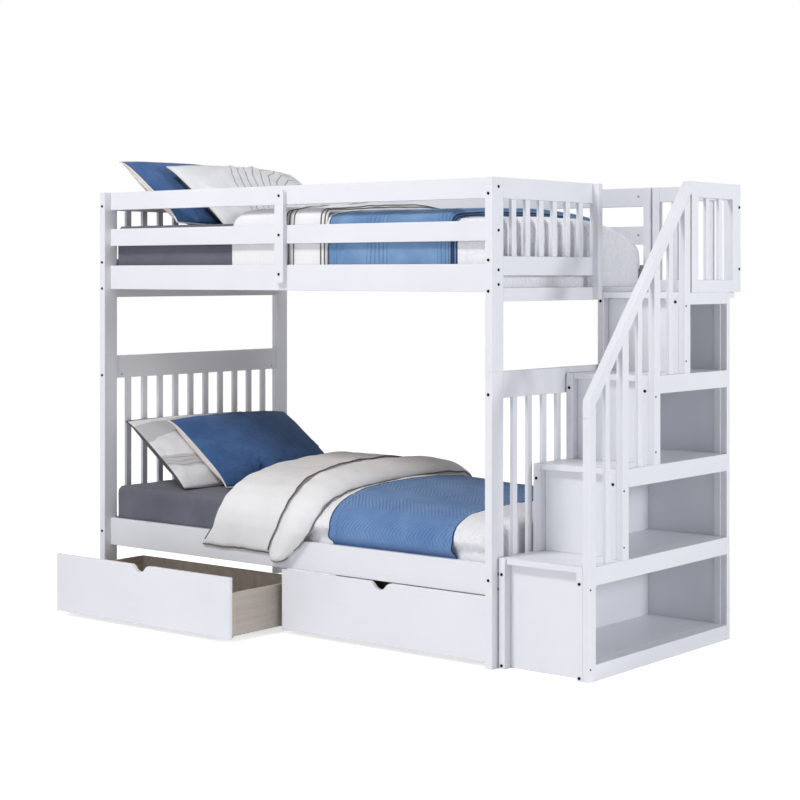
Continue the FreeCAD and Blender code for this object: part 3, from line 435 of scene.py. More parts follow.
def make_piece(name, points, faces, materials, cloth, slots=None):
    """A closed mesh with its faces turned outwards, its cloth map and its finishes."""
    mesh = bpy.data.meshes.new(name)
    mesh.from_pydata([tuple(p) for p in points], [], [tuple(int(i) for i in q) for q in faces])
    for material in materials:
        mesh.materials.append(material)
    if slots is not None:
        mesh.polygons.foreach_set("material_index", np.asarray(slots, dtype=np.int32))
    mesh.polygons.foreach_set("use_smooth", np.ones(len(mesh.polygons), dtype=bool))
    layer = mesh.uv_layers.new(name="cloth")
    corner = np.empty(len(mesh.loops), dtype=np.int32)
    mesh.loops.foreach_get("vertex_index", corner)
    layer.data.foreach_set("uv", np.asarray(cloth, float)[corner].ravel())
    tidy_shell(mesh)
    return put(name, mesh)


def run_length(grid, axis):
    """Distance along the cloth in one direction of a grid of points."""
    gaps = np.linalg.norm(np.diff(grid, axis=axis), axis=-1)
    start = np.zeros([1 if a == axis else n for a, n in enumerate(gaps.shape)])
    return np.concatenate([start, np.cumsum(gaps, axis=axis)], axis=axis)


def cloth_map(grid):
    """Metres across and along the cloth for every point, even over the whole piece."""
    along = run_length(grid, 0).mean(axis=1)
    across = run_length(grid, 1).mean(axis=0)
    return grid_of(across[None, :], along[:, None])


def outward(grid):
    """Unit normals of a grid of points, on the side away from the bed."""
    a = np.gradient(grid, axis=0)
    b = np.gradient(grid, axis=1)
    n = np.cross(b, a)
    return n / np.maximum(np.linalg.norm(n, axis=-1, keepdims=True), 1e-9)


def two_skins(name, outer, inner, materials, shared_edge=False):
    """A closed piece from an outer and an inner grid, joined round the edge."""
    total = outer[..., 0].size
    over = np.arange(total).reshape(outer.shape[:2])
    cloth = np.concatenate([cloth_map(outer).reshape(-1, 2)] * 2)
    points = np.concatenate([outer.reshape(-1, 3), inner.reshape(-1, 3)])
    faces = [quads(over), quads(over + total)[:, ::-1]]
    slots = [np.zeros(len(faces[0]), int), np.full(len(faces[1]), len(materials) - 1)]
    if shared_edge:
        inside = inside_of(over.shape).ravel()
        faces[1] = np.where(inside[faces[1] - total], faces[1], faces[1] - total)
        keep = np.concatenate([np.ones(total, bool), inside])
        new_index = np.cumsum(keep) - 1
        faces = [new_index[f] for f in faces]
        points, cloth = points[keep], cloth[keep]
    else:
        ring = rim_of(over)
        after = np.roll(ring, -1)
        faces.append(np.stack([ring, after, after + total, ring + total], -1))
        slots.append(np.zeros(len(ring), int))
    faces, slots = np.concatenate(faces), np.concatenate(slots)
    return make_piece(name, points, faces, materials, cloth, slots)


def evenly(line, count):
    """Points spread evenly along a line."""
    reach = np.r_[0, np.cumsum(np.linalg.norm(np.diff(line, axis=0), axis=1))]
    even = np.linspace(0, reach[-1], count)
    return np.stack([np.interp(even, reach, column) for column in line.T], 1), reach[-1]


def smooth_line(stations, count, soft=25.0):
    """Even points on a rounded line through stations, with its ends kept."""
    fine = 900
    line, length = evenly(np.asarray(stations, float), fine)
    width = max(1, int(soft / (length / fine)))
    before = 2 * line[:1] - line[width:0:-1]
    beyond = 2 * line[-1:] - line[-2 : -width - 2 : -1]
    pad = np.concatenate([before, line, beyond])
    kernel = np.hanning(2 * width + 3)[1:-1]
    kernel /= kernel.sum()
    line = np.stack([np.convolve(column, kernel, "valid") for column in pad.T], 1)
    return evenly(line, count)[0]


def side_of(line):
    """Unit normals of a line across the bed, pointing away from the bed."""
    run = np.gradient(line, axis=0)
    turned = np.stack([-run[:, 1], run[:, 0]], 1)
    return turned / np.linalg.norm(turned, axis=1, keepdims=True)


def ripple(points, size, seed, levels=3):
    """Smooth seeded noise from sines, -1 to 1, on points of any shape (..., 2 or 3)."""
    rng = np.random.default_rng(seed)
    turn = 6.2832
    total = np.zeros(points.shape[:-1])
    share = 0.0
    for level in range(levels):
        for _ in range(4):
            heading = rng.normal(size=points.shape[-1])
            heading *= 2**level * turn / size / np.linalg.norm(heading)
            total += 0.55**level * np.sin(points @ heading + rng.uniform(0, turn))
            share += 0.55**level
    return total / share * 2.0


def step(values, start, end):
    """0 up to start, 1 from end, and a soft rise between."""
    t = np.clip((np.asarray(values, float) - start) / (end - start), 0, 1)
    return t * t * (3 - 2 * t)


# ---------------- piping and stitches

SOCKET_KIND = {"Path": "Geometry", "Finish": "Material", "Sides": "Int"}


def new_tree(name, *inputs):
    """A Geometry Nodes tree with those inputs, its input node's outputs and its curve."""
    tree = bpy.data.node_groups.new(name, "GeometryNodeTree")
    for socket in inputs:
        kind = "NodeSocket" + SOCKET_KIND.get(socket, "Float")
        tree.interface.new_socket(socket, in_out="INPUT", socket_type=kind)
    tree.interface.new_socket("Made", in_out="OUTPUT", socket_type="NodeSocketGeometry")
    g = Nodes(tree, "GeometryNode")
    given = g.node("NodeGroupInput").outputs
    return g, given, g.node("MeshToCurve", {0: given["Path"]}).outputs[0]


def end_tree(g, given, shape):
    """Shades the shape smooth, realizes its instances and gives it its finish."""
    smooth = g.node("SetShadeSmooth", {0: shape})
    real = g.node("RealizeInstances", {0: smooth.outputs[0]})
    painted = g.node("SetMaterial", {0: real.outputs[0], "Material": given["Finish"]})
    g.node("NodeGroupOutput", {0: painted.outputs[0]})
    return g.tree


def tube_tree():
    """A round cord of a given radius along an edge path."""
    g, given, curve = new_tree("piping", "Path", "Radius", "Sides", "Finish")
    circle = {"Radius": given["Radius"], "Resolution": given["Sides"]}
    ring = g.node("CurvePrimitiveCircle", circle).outputs[0]
    sweep = g.node("CurveToMesh", {"Curve": curve, "Profile Curve": ring, "Fill Caps": True})
    return end_tree(g, given, sweep.outputs[0])


def stitch_tree():
    """Short thread stitches, evenly spaced along an edge path."""
    g, given, curve = new_tree("stitches", "Path", "Spacing", "Stitch", "Thread", "Finish")
    every = {"Curve": curve, "Length": given["Spacing"]}
    spots = g.node("CurveToPoints", every, mode="LENGTH").outputs
    along = {"Vector": spots["Tangent"]}
    turn = g.node("FunctionNodeAlignRotationToVector", along, axis="Z").outputs[0]
    size = {"Vertices": 6, "Radius": given["Thread"], "Depth": given["Stitch"]}
    thread = g.node("MeshCylinder", size).outputs["Mesh"]
    each = {"Points": spots["Points"], "Instance": thread, "Rotation": turn}
    return end_tree(g, given, g.node("InstanceOnPoints", each).outputs[0])


PIPING_TREE = tube_tree()
STITCH_TREE = stitch_tree()


def follow(name, tree, paths, values, closed=False):
    """Runs a tree on one or more paths and returns a plain mesh piece."""
    points, edges = [], []
    for path in paths:
        first = len(points)
        points += [tuple(p) for p in path]
        edges += [(first + k, first + k + 1) for k in range(len(path) - 1)]
        if closed:
            edges.append((len(points) - 1, first))
    lines = bpy.data.meshes.new(name + "_path")
    lines.from_pydata(points, edges, [])
    carrier = put(name, lines)
    modifier = carrier.modifiers.new("follow", "NODES")
    modifier.node_group = tree
    for socket in tree.interface.items_tree:
        if socket.in_out == "INPUT" and socket.name in values:
            modifier[socket.identifier] = values[socket.name]
    depsgraph = bpy.context.evaluated_depsgraph_get()
    mesh = bpy.data.meshes.new_from_object(carrier.evaluated_get(depsgraph))
    carrier.modifiers.remove(modifier)
    carrier.data = mesh
    mesh.name = name
    bpy.data.meshes.remove(lines)
    return carrier


def piping(name, paths, radius, finish, slot, closed=False):
    """Round cord along those paths, riding on the bed."""
    values = {"Radius": radius, "Sides": 8, "Finish": finish}
    return on_bed(follow(name, PIPING_TREE, paths, values, closed), slot)


def on_bed(piece, slot, *nodes):
    """Puts a piece on the bed's body in place of those CAD nodes; the slot is not used."""
    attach(piece, "bed")
    if nodes:
        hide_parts(*nodes)
    return piece


# ---------------- the bedding's lines

# Across the bed from the front hem, over the top, to the back hem: (depth, height).
THROW_LINES = {
    "lower": {
        "left": [(58, 318), (58, 362), (52, 371), (33, 375), (24, 386), (29, 440), (52, 476),
         (90, 505), (150, 528), (240, 547), (359, 557), (518, 561), (700, 558), (850, 543),
         (960, 518), (1020, 485), (1046, 430), (1048, 380), (1048, 318)],
        "right": [(58, 318), (58, 362), (52, 371), (34, 375), (26, 386), (31, 440), (52, 468),
         (85, 486), (140, 503), (240, 513), (359, 517), (518, 519), (700, 518), (850, 513),
         (960, 502), (1020, 477), (1046, 430), (1048, 380), (1048, 318)],
        "foot": [(60, 318), (60, 372), (52, 385), (36, 393), (33, 408), (40, 436), (62, 462),
         (100, 480), (180, 494), (320, 500), (553, 502), (800, 499), (920, 490), (990, 470),
         (1030, 440), (1044, 400), (1046, 372), (1046, 318)],
    },
    "upper": {
        "left": [(58, 1376), (58, 1450), (58, 1520), (60, 1553), (74, 1574), (120, 1587),
         (240, 1596), (400, 1602), (553, 1604), (700, 1602), (880, 1592), (985, 1580),
         (1030, 1566), (1046, 1545), (1048, 1500), (1048, 1376)],
        "right": [(58, 1376), (58, 1450), (58, 1520), (60, 1552), (74, 1573), (120, 1586),
         (240, 1595), (400, 1600), (553, 1602), (700, 1600), (880, 1589), (985, 1577),
         (1030, 1563), (1046, 1541), (1048, 1500), (1048, 1376)],
        "foot": [(60, 1376), (60, 1460), (60, 1510), (64, 1538), (82, 1553), (140, 1559),
         (356, 1563), (582, 1564), (752, 1554), (857, 1538), (965, 1505), (1030, 1477),
         (1045, 1440), (1046, 1376)],
    },
}
THROW_ENDS = {"lower": (1222.0, 1790.0), "upper": (1194.0, 1788.0)}
# Past the throw's end, the made bed's line turns from the throw's to the foot's over this.
FOOT_FALL = {"lower": (4.0, 110.0), "upper": (-46.0, 2.0)}
DOUBLE_BAND = (1766, 1774)
COVERLET_ENDS = (702.0, 1941.5)
FOOT_ROUNDING = 42.0
FOOT_HEM = {"lower": 300.0, "upper": 1308.0}
BED_MIDDLE = 553.0
ACROSS = 260


def bedding_line(bed, x):
    """The made bed's outer line across at x, between the throw's two ends."""
    start, end = THROW_ENDS[bed]
    share = float(np.clip((x - start) / (end - start), -0.15, 1.1))
    left, right, foot = (smooth_line(line, ACROSS) for line in THROW_LINES[bed].values())
    line = left + (right - left) * share
    fall_start, fall_end = (end + past for past in FOOT_FALL[bed])
    return line + (foot - line) * float(step(x, fall_start, fall_end))


def bedding_height(bed, x, y):
    """Height of the made bed's outer surface over points (x, y), in bed millimetres."""
    stations = np.linspace(600.0, COVERLET_ENDS[1], 40)
    spots = np.linspace(30.0, 1046.0, 120)
    table = []
    for station in stations:
        line = bedding_line(bed, station)
        first, last = line[:, 0].argmin(), line[:, 0].argmax()
        table.append(np.interp(spots, line[first:last, 0], line[first:last, 1]))
    table = np.array(table)
    row = np.interp(x, stations, np.arange(len(stations))).clip(0, len(stations) - 1.001)
    column = np.interp(y, spots, np.arange(len(spots))).clip(0, len(spots) - 1.001)
    i, j = row.astype(int), column.astype(int)
    a, b = row - i, column - j
    near = table[i, j] * (1 - b) + table[i, j + 1] * b
    return near * (1 - a) + (table[i + 1, j] * (1 - b) + table[i + 1, j + 1] * b) * a


def draped(bed, stations, sunk):
    """Grid (across, along the bed) of points lying sunk millimetres under the outer line."""
    grid = np.empty((ACROSS, len(stations), 3))
    for column, (x, depth) in enumerate(zip(stations, sunk)):
        line = bedding_line(bed, x)
        grid[:, column, 0] = x
        grid[:, column, 1:] = line - side_of(line) * depth
    return grid


# ---------------- mattresses


def mattress(bed):
    """Foam mattress in a fitted sheet: rounded edges, a soft crown under the bedding."""
    node = f"mattress_{bed}"
    low, high = (np.array(corner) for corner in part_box(node))
    low, high = low + (-0.003, 0.0005, 0.0005), high - (0.0005, 0.0005, 0.0)
    radius = np.array((0.010, 0.016, 0.034))
    cells = np.ceil((high - low) / 0.014).astype(int)
    points, faces = [], []
    for axis in range(3):
        u, v = [a for a in range(3) if a != axis]
        for end in (low, high):
            sheet = np.empty((cells[u] + 1, cells[v] + 1, 3))
            sheet[..., u] = np.linspace(low[u], high[u], cells[u] + 1)[:, None]
            sheet[..., v] = np.linspace(low[v], high[v], cells[v] + 1)
            sheet[..., axis] = end[axis]
            index = np.arange(sheet[..., 0].size).reshape(sheet.shape[:2])
            faces.append(quads(index + len(points)))
            points.extend(sheet.reshape(-1, 3))
    points = np.array(points)
    heart = np.clip(points, low + radius, high - radius)
    away = (points - heart) / radius
    away /= np.maximum(np.linalg.norm(away, axis=1, keepdims=True), 1e-9)
    points = heart + away * radius
    x, y, z = points.T
    along = x - BED_CORNER.x
    across = 1 - ((y - (low[1] + high[1]) / 2) / (high[1] - low[1]) * 2) ** 2
    made_up = step(along, 0.66, 0.95) * (1 - step(along, 1.80, 1.93))
    on_top = step(z, low[2] + 0.1, high[2]) * step(x, low[0], low[0] + 0.12)
    z += (0.004 + 0.014 * made_up) * np.clip(across, 0, 1) ** 0.7 * on_top
    inset = 0.009 * step(along, 0.690, 0.716)
    y[:] = np.clip(y, low[1] + inset, high[1] - inset)
    cover = bedding_height(bed, along * 1000, (y - BED_CORNER.y) * 1000)
    cover = np.where(along > 0.72, cover - 13.0, 9000.0) / 1000
    foot_round = (x - (high[0] - 0.05)).clip(0)
    z[:] = np.minimum(z, np.maximum(cover, low[2] + 0.1) - foot_round * 0.5)
    crease = ripple(points * (1.0, 1.0, 0.35), 0.16, 3 + BEDS.index(bed), 4)
    points -= away * (0.0012 + 0.0012 * crease)[:, None]
    cloth = np.stack([x + z * 0.3, y + z], 1)
    piece = make_piece(node + "_sheet", points, np.concatenate(faces), [GREY_SHEET], cloth)
    tidy_shell(piece.data, merge=0.0003)
    on_bed(piece, "mattress_sheet", node)


for bed in BEDS:
    mattress(bed)


# ---------------- coverlets and throws


def quilt_puffs(cloth, pitch, seed):
    """0 on the stitched lines between puffs, 1 on top of a puff, cells of uneven size."""
    rng = np.random.default_rng(seed)
    spread = np.ceil(cloth.max(axis=(0, 1)) / pitch).astype(int) + 4
    jitter = rng.uniform(0.12, 0.88, size=(*spread, 2))
    cell = np.floor(cloth / pitch).astype(int)
    nearest = np.full(cloth.shape[:2], 9.0)
    second = nearest.copy()
    for du in (-1, 0, 1):
        for dv in (-1, 0, 1):
            u, v = cell[..., 0] + du + 1, cell[..., 1] + dv + 1
            centre = (np.stack([u - 1, v - 1], -1) + jitter[u, v]) * pitch
            far = np.linalg.norm(cloth - centre, axis=-1) / pitch
            second = np.where(far < nearest, nearest, np.minimum(second, far))
            nearest = np.minimum(nearest, far)
    return np.clip((second - nearest) / 0.45, 0, 1) ** 0.5


def foot_end(bed, last):
    """The quilt's fall at the foot of the mattress, from its last line across the bed."""
    steps = np.linspace(0, 1, 48)[1:]
    beside_cleats = last[0, 2] + 5.0
    clear = step(last[:, 1], 84, 96) * (1 - step(last[:, 1], 1010, 1022))
    hem = beside_cleats + (FOOT_HEM[bed] - beside_cleats) * clear
    fall = np.minimum(hem, last[:, 2]) - last[:, 2]
    folds = ripple(grid_of(last[:, 1], 0.0), 230.0, 23, 3)
    foot = np.repeat(last[:, None], len(steps), axis=1)
    foot[..., 2] += fall[:, None] * steps
    foot[..., 0] += (3.2 * folds[:, None] + 2.2) * steps**0.7
    return foot


def coverlet(bed):
    """White quilt over the mattress, down both sides and over the foot end."""
    node, top = f"coverlet_{bed}", MATTRESS_TOP[bed]
    start, end = COVERLET_ENDS
    throw_start, throw_end = THROW_ENDS[bed]
    turn = np.linspace(0, math.pi / 2, 11)[1:]
    level = np.arange(start, end - FOOT_ROUNDING, 6.0)
    rounding = end - FOOT_ROUNDING + FOOT_ROUNDING * np.sin(turn)
    stations = np.concatenate([level, rounding])
    under_throw = step(stations, throw_start - 6, throw_start + 10)
    under_throw *= 1 - step(stations, throw_end - 10, throw_end + 6)
    under_duvet = 1 - step(stations, 1100, 1160)
    outer = draped(bed, stations, 1.2 + 4.6 * under_throw + 4.0 * under_duvet)
    hem = outer[0, 0, 2]
    tucked = 1 - step(outer[..., 2], top - 105, top - 60)
    between_rails = np.clip(outer[..., 1], 61.4, 1044.6)
    outer[..., 1] = outer[..., 1] * (1 - tucked) + between_rails * tucked
    for k, fall in enumerate(FOOT_ROUNDING * (1 - np.cos(turn)), len(level)):
        y, z = outer[:, k, 1], outer[:, k, 2]
        z[:] = np.maximum(hem, z - fall)
        past_corner = (np.abs(y - BED_MIDDLE) - 476).clip(0)
        y -= np.sign(y - BED_MIDDLE) * np.minimum(past_corner, fall)
    outer = np.concatenate([outer, foot_end(bed, outer[:, -1])], axis=1)
    cloth = cloth_map(place(outer))
    puffs = quilt_puffs(cloth, 0.019, 11 + BEDS.index(bed))
    shown = 1 - 0.85 * np.pad(under_throw, (0, outer.shape[1] - len(stations)))
    loose = step(outer[..., 2], top - 100, top - 70)
    lift = (1.7 * puffs - 0.8 + 2.5 * ripple(cloth, 0.3, 21)) * shown * loose
    away = outward(outer)
    inner = outer - away * (3.0 + 6.0 * loose)[..., None]
    outer = outer + away * lift[..., None]
    piece = two_skins(node + "_quilt", place(outer), place(inner), [WHITE_QUILT])
    on_bed(piece, "white_coverlet", node)
    edge = place(inner[:, 0] * 0.35 + outer[:, 0] * 0.65)[::2]
    binding = piping(node + "_binding", [edge], 0.0032, WHITE_QUILT, "white_coverlet")


def throw(bed, finish):
    """Blue quilt across the bed, tucked down inside both rails."""
    node, top = f"throw_{bed}", MATTRESS_TOP[bed]
    start, end = THROW_ENDS[bed]
    stations = np.linspace(start, end, 140)
    outer = draped(bed, stations, np.zeros(len(stations)))
    cloth = cloth_map(place(outer))
    loose = step(outer[..., 2], top - 95, top - 60)
    across = (stations - start) / (end - start)
    edge_curl = np.exp(-((across / 0.03) ** 2)) + np.exp(-(((1 - across) / 0.03) ** 2))
    waves = 2.4 * ripple(cloth * (1.0, 0.55), 0.22, 31 + BEDS.index(bed), 3)
    away = outward(outer)
    outer = outer + away * ((waves - 1.6 * edge_curl) * loose)[..., None]
    outer[..., 0] += 5.0 * ripple(cloth[:, :1], 0.5, 41, 2) * loose
    inner = outer - away * (2.6 + 1.4 * loose)[..., None]
    piece = two_skins(node + "_quilt", place(outer), place(inner), [finish])
    on_bed(piece, "blue_quilt", node)
    cords = [place(outer[:, k] * 0.6 + inner[:, k] * 0.4) for k in (0, -1)]
    if bed == "upper":
        double = [np.abs(stations - x).argmin() for x in DOUBLE_BAND]
        cords += [place(outer[:, k] + away[:, k] * 0.8) for k in double]
    binding = piping(node + "_binding", cords, 0.0034, NAVY_BINDING, "blue_quilt")
    rows = [place(outer[:, k] + away[:, k] * 0.2) for k in (9, -9)]
    thread = {"Spacing": 0.007, "Stitch": 0.0042, "Thread": 0.0005, "Finish": NAVY_BINDING}
    seams = on_bed(follow(node + "_stitches", STITCH_TREE, rows, thread), "blue_quilt")
    length = float(run_length(place(outer), 0)[-1].mean())


for bed, finish in (("lower", ZIGZAG_QUILT), ("upper", PLEATED_QUILT)):
    coverlet(bed)
    throw(bed, finish)


# ---------------- folded duvets

# Section across the bed, then values at shares of the way along it: the places of the left
# edge, the seam and the right edge, the thickness, the roll's bulge; then the columns that
# carry a cord, and how far the front end hangs down. All in millimetres.
DUVETS = {
    "lower": {
        "line": [(22, 299), (19, 340), (15, 400), (20, 450), (42, 502), (88, 546), (160, 576),
         (260, 594), (400, 604), (600, 609), (800, 606), (925, 588), (985, 552), (1008, 500)],
        "left": [(565, 0.0), (628, 0.06), (658, 0.13), (672, 0.2), (655, 0.36), (600, 0.55),
         (540, 0.78), (520, 1.0)],
        "seam": [(923, 0.0), (943, 0.04), (977, 0.08), (1007, 0.14), (1023, 0.2), (990, 0.33),
         (948, 0.48), (905, 0.66), (880, 1.0)],
        "right": [(1020, 0.0), (1075, 0.03), (1135, 0.08), (1170, 0.14), (1188, 0.22),
         (1198, 0.32), (1206, 0.42), (1198, 0.6), (1180, 1.0)],
        "thick": [(10, 0.0), (10, 0.07), (15, 0.11), (34, 0.17), (70, 0.24), (86, 0.36),
         (92, 0.55), (88, 0.85), (55, 1.0)],
        "roll": [(30, 0.0), (36, 0.08), (34, 0.16), (26, 0.26), (14, 0.5), (6, 1.0)],
        "cords": (),
        "hangs": 27.0,
    },
    "upper": {
        "line": [(58, 1370), (57.5, 1450), (57.5, 1540), (60, 1580), (76, 1600), (140, 1612),
         (300, 1627), (500, 1638), (700, 1640), (880, 1622), (990, 1598), (1036, 1565),
         (1048, 1520), (1048, 1450), (1048, 1376)],
        "left": [(694, 0.0), (694, 0.118), (708, 0.14), (736, 0.158), (742, 0.3), (742, 0.8),
         (700, 0.88), (700, 1.0)],
        "seam": [(975, 0.0), (982, 0.2), (965, 0.5), (950, 1.0)],
        "right": [(1186, 0.0), (1186, 0.2), (1184, 0.5), (1180, 1.0)],
        "thick": [(4.5, 0.0), (5, 0.1), (14, 0.16), (46, 0.22), (66, 0.3), (72, 0.5), (66, 0.72),
         (36, 0.82), (8, 0.88), (4.5, 1.0)],
        "roll": [(0, 0.0), (0, 0.18), (-4, 0.26), (2, 0.5), (-4, 0.8), (0, 0.9), (0, 1.0)],
        "cords": (75, 78, 82, 104, 107),
        "hangs": 0.0,
    },
}


def along_table(table, share):
    """A value read off a table of (value, share along the line)."""
    values, places = np.array(table, float).T
    return np.interp(share, places, values)


def hang_low(shape, x, share, roll_share, full, outer, inner):
    """Lets the front end sink under its weight, with a wavy hem at the roll's side."""
    low_end = 1 - step(share, 0.0, 0.13)
    drop = shape["hangs"] * np.sin(math.pi * roll_share) ** 0.6 * low_end
    sway = 4.0 * ripple(grid_of(x, 0.0), 170.0, 53, 3) * low_end
    layers = (1 - step(share, 0.0, 0.05)) * step(x, 860.0, 960.0)
    lumps = ripple(grid_of(x, share * 500.0), 62.0, 54, 2)
    for grid in (outer, inner):
        grid[..., 2] -= drop + sway + 5.0 * lumps * layers
    outer[..., 1] -= (4.0 + 5.0 * lumps) * layers * full


def duvet(bed):
    """Folded duvet: a wide flat fold, a seam, and a round roll beside it."""
    node, shape = f"duvet_{bed}", DUVETS[bed]
    rows, fold_columns, roll_columns = 190, 75, 35
    share = np.linspace(0, 1, rows)[:, None]
    line = smooth_line(shape["line"], rows, 22.0)
    normal = side_of(line)[:, None]
    left, seam, right, thick, roll = (
        along_table(shape[key], share) for key in ("left", "seam", "right", "thick", "roll")
    )
    in_fold = np.arange(fold_columns + roll_columns) < fold_columns
    fold_share = np.r_[np.linspace(0, 1, fold_columns + 1)[:-1], np.ones(roll_columns)]
    roll_share = np.r_[np.zeros(fold_columns), np.linspace(0, 1, roll_columns)]
    x = np.where(in_fold, left + (seam - left) * fold_share, seam + (right - seam) * roll_share)
    fold_round = (1 - np.abs(1 - 2 * np.clip(fold_share, 0, 0.5)) ** 5) ** 0.45
    fold_end = 1 - 0.16 * step(fold_share, 0.975, 1.0)
    roll_start = 0.5 + 0.5 * np.sin(np.clip(roll_share / 0.40, 0, 1) * math.pi / 2)
    roll_round = roll_start * (1 - roll_share**3.4) ** 0.5
    full = np.where(in_fold, fold_round * fold_end, roll_round)
    if shape["hangs"]:
        full = full * step(share, 0.0, 0.012) * (1 - step(share, 0.965, 1.0)) ** 0.5
    bulge = roll * np.sin(math.pi * roll_share) ** 0.8 * ~in_fold
    spots = grid_of(x, share * 1500.0)
    soft = 4.0 * ripple(spots, 420.0, 51, 3) + 1.1 * ripple(spots * (1.0, 0.5), 85.0, 52, 2)
    above = bulge + soft * full * step(thick, 14, 60) - thick * 0.5 * (1 - full)
    below = thick * 0.5 * (1 + full)
    outer, inner = (
        np.concatenate([x[..., None], line[:, None] + normal * rise[..., None]], -1)
        for rise in (above, -below)
    )
    if shape["hangs"]:
        hang_low(shape, x, share, roll_share, full, outer, inner)
    rim = ~inside_of(x.shape)
    inner[rim] = outer[rim] = (outer[rim] + inner[rim]) / 2
    piece = two_skins(node + "_linen", place(outer), place(inner), [LINEN], shared_edge=True)
    on_bed(piece, "duvet_linen", node)
    away = outward(outer)
    if shape["hangs"]:
        seam_cord = outer[2:-2, fold_columns - 1] + away[2:-2, fold_columns - 5] * 2.2
        cords = [seam_cord, outer[3:-3, 0], outer[3:-3, -1], outer[0, 1:-1]]
    else:
        cords = [outer[2:-2, k] + away[2:-2, k] * 2.0 for k in shape["cords"]]
    cords = [place(cord) for cord in cords]
    radius = 0.0032 if shape["hangs"] else 0.0023
    cord = piping(node + "_piping", cords, radius, GREY_PIPING, "duvet_linen")


for bed in BEDS:
    duvet(bed)


# ---------------- pillows

# Fullness of the front and of the back in metres; the cloth of the front, back and piping.
PILLOWS = {
    "pillow_striped_lower": (0.044, 0.050, STRAIGHT_STRIPES, DARK_CLOTH, DARK_CLOTH),
    "pillow_blue_lower": (0.074, 0.054, BLUE_CASE, CREAM_CLOTH, CREAM_CLOTH),
    "pillow_blue_upper": (0.046, 0.054, BLUE_CASE, CREAM_CLOTH, CREAM_CLOTH),
    "pillow_striped_upper": (0.070, 0.042, CURVED_STRIPES, DARK_CLOTH, CREAM_CLOTH),
}
LOWERED = {"pillow_striped_upper": 0.018}
SETTLED = 34


def swell(flat_front, flat_back):
    """Blows a flat two-panel case up like a filled pillow, with cloth simulation."""
    case = two_skins("case", flat_front, flat_back, [LINEN], shared_edge=True)
    settle = case.modifiers.new("fill", "CLOTH")
    cloth = settle.settings
    cloth.quality = 6
    cloth.mass = 0.25
    cloth.tension_stiffness = cloth.compression_stiffness = 18.0
    cloth.shear_stiffness = 6.0
    cloth.bending_stiffness = 0.15
    cloth.tension_damping = cloth.compression_damping = 8.0
    cloth.air_damping = 4.0
    cloth.use_pressure = True
    cloth.uniform_pressure_force = 5.0
    cloth.shrink_min = -0.015
    cloth.effector_weights.gravity = 0.0
    settle.point_cache.frame_start, settle.point_cache.frame_end = 1, SETTLED
    for frame_number in range(1, SETTLED + 1):
        SCENE.frame_set(frame_number)
    ready = case.evaluated_get(bpy.context.evaluated_depsgraph_get())
    mesh = ready.to_mesh()
    points = np.empty(len(mesh.vertices) * 3)
    mesh.vertices.foreach_get("co", points)
    ready.to_mesh_clear()
    SCENE.frame_set(1)
    bpy.data.objects.remove(case)
    return points.reshape(-1, 3)


def blown_up(a, b, rise, wrinkle, bow_a, bow_b, crowns):
    """Front and back after the simulation, drawn to the pillow's outline and fullness."""
    points = swell(
        grid_of(a, b, rise * (1 + 0.4 * wrinkle) * 0.012),
        grid_of(a, b, -rise * (1 - 0.4 * wrinkle) * 0.012),
    )
    fronts = points[: rise.size].reshape(*rise.shape, 3)
    backs = fronts.copy()
    backs[inside_of(rise.shape)] = points[rise.size :]
    back_depth = -backs[..., 2].min()
    middle = (fronts[..., 2] + backs[..., 2]) / 2
    end_a = np.abs(np.where(a < 0, fronts[:1, :, 0], fronts[-1:, :, 0]))
    end_b = np.abs(np.where(b < 0, fronts[:, :1, 1], fronts[:, -1:, 1]))
    for grid in (fronts, backs):
        grid[..., 0] *= bow_a * a.max() / end_a
        grid[..., 1] *= bow_b * b.max() / end_b
        grid[..., 2] -= 0.85 * middle
    fronts[..., 2] *= crowns[0] / fronts[..., 2].max()
    backs[..., 2] *= np.where(backs[..., 2] < 0, crowns[1] / back_depth, 1)
    return fronts, backs


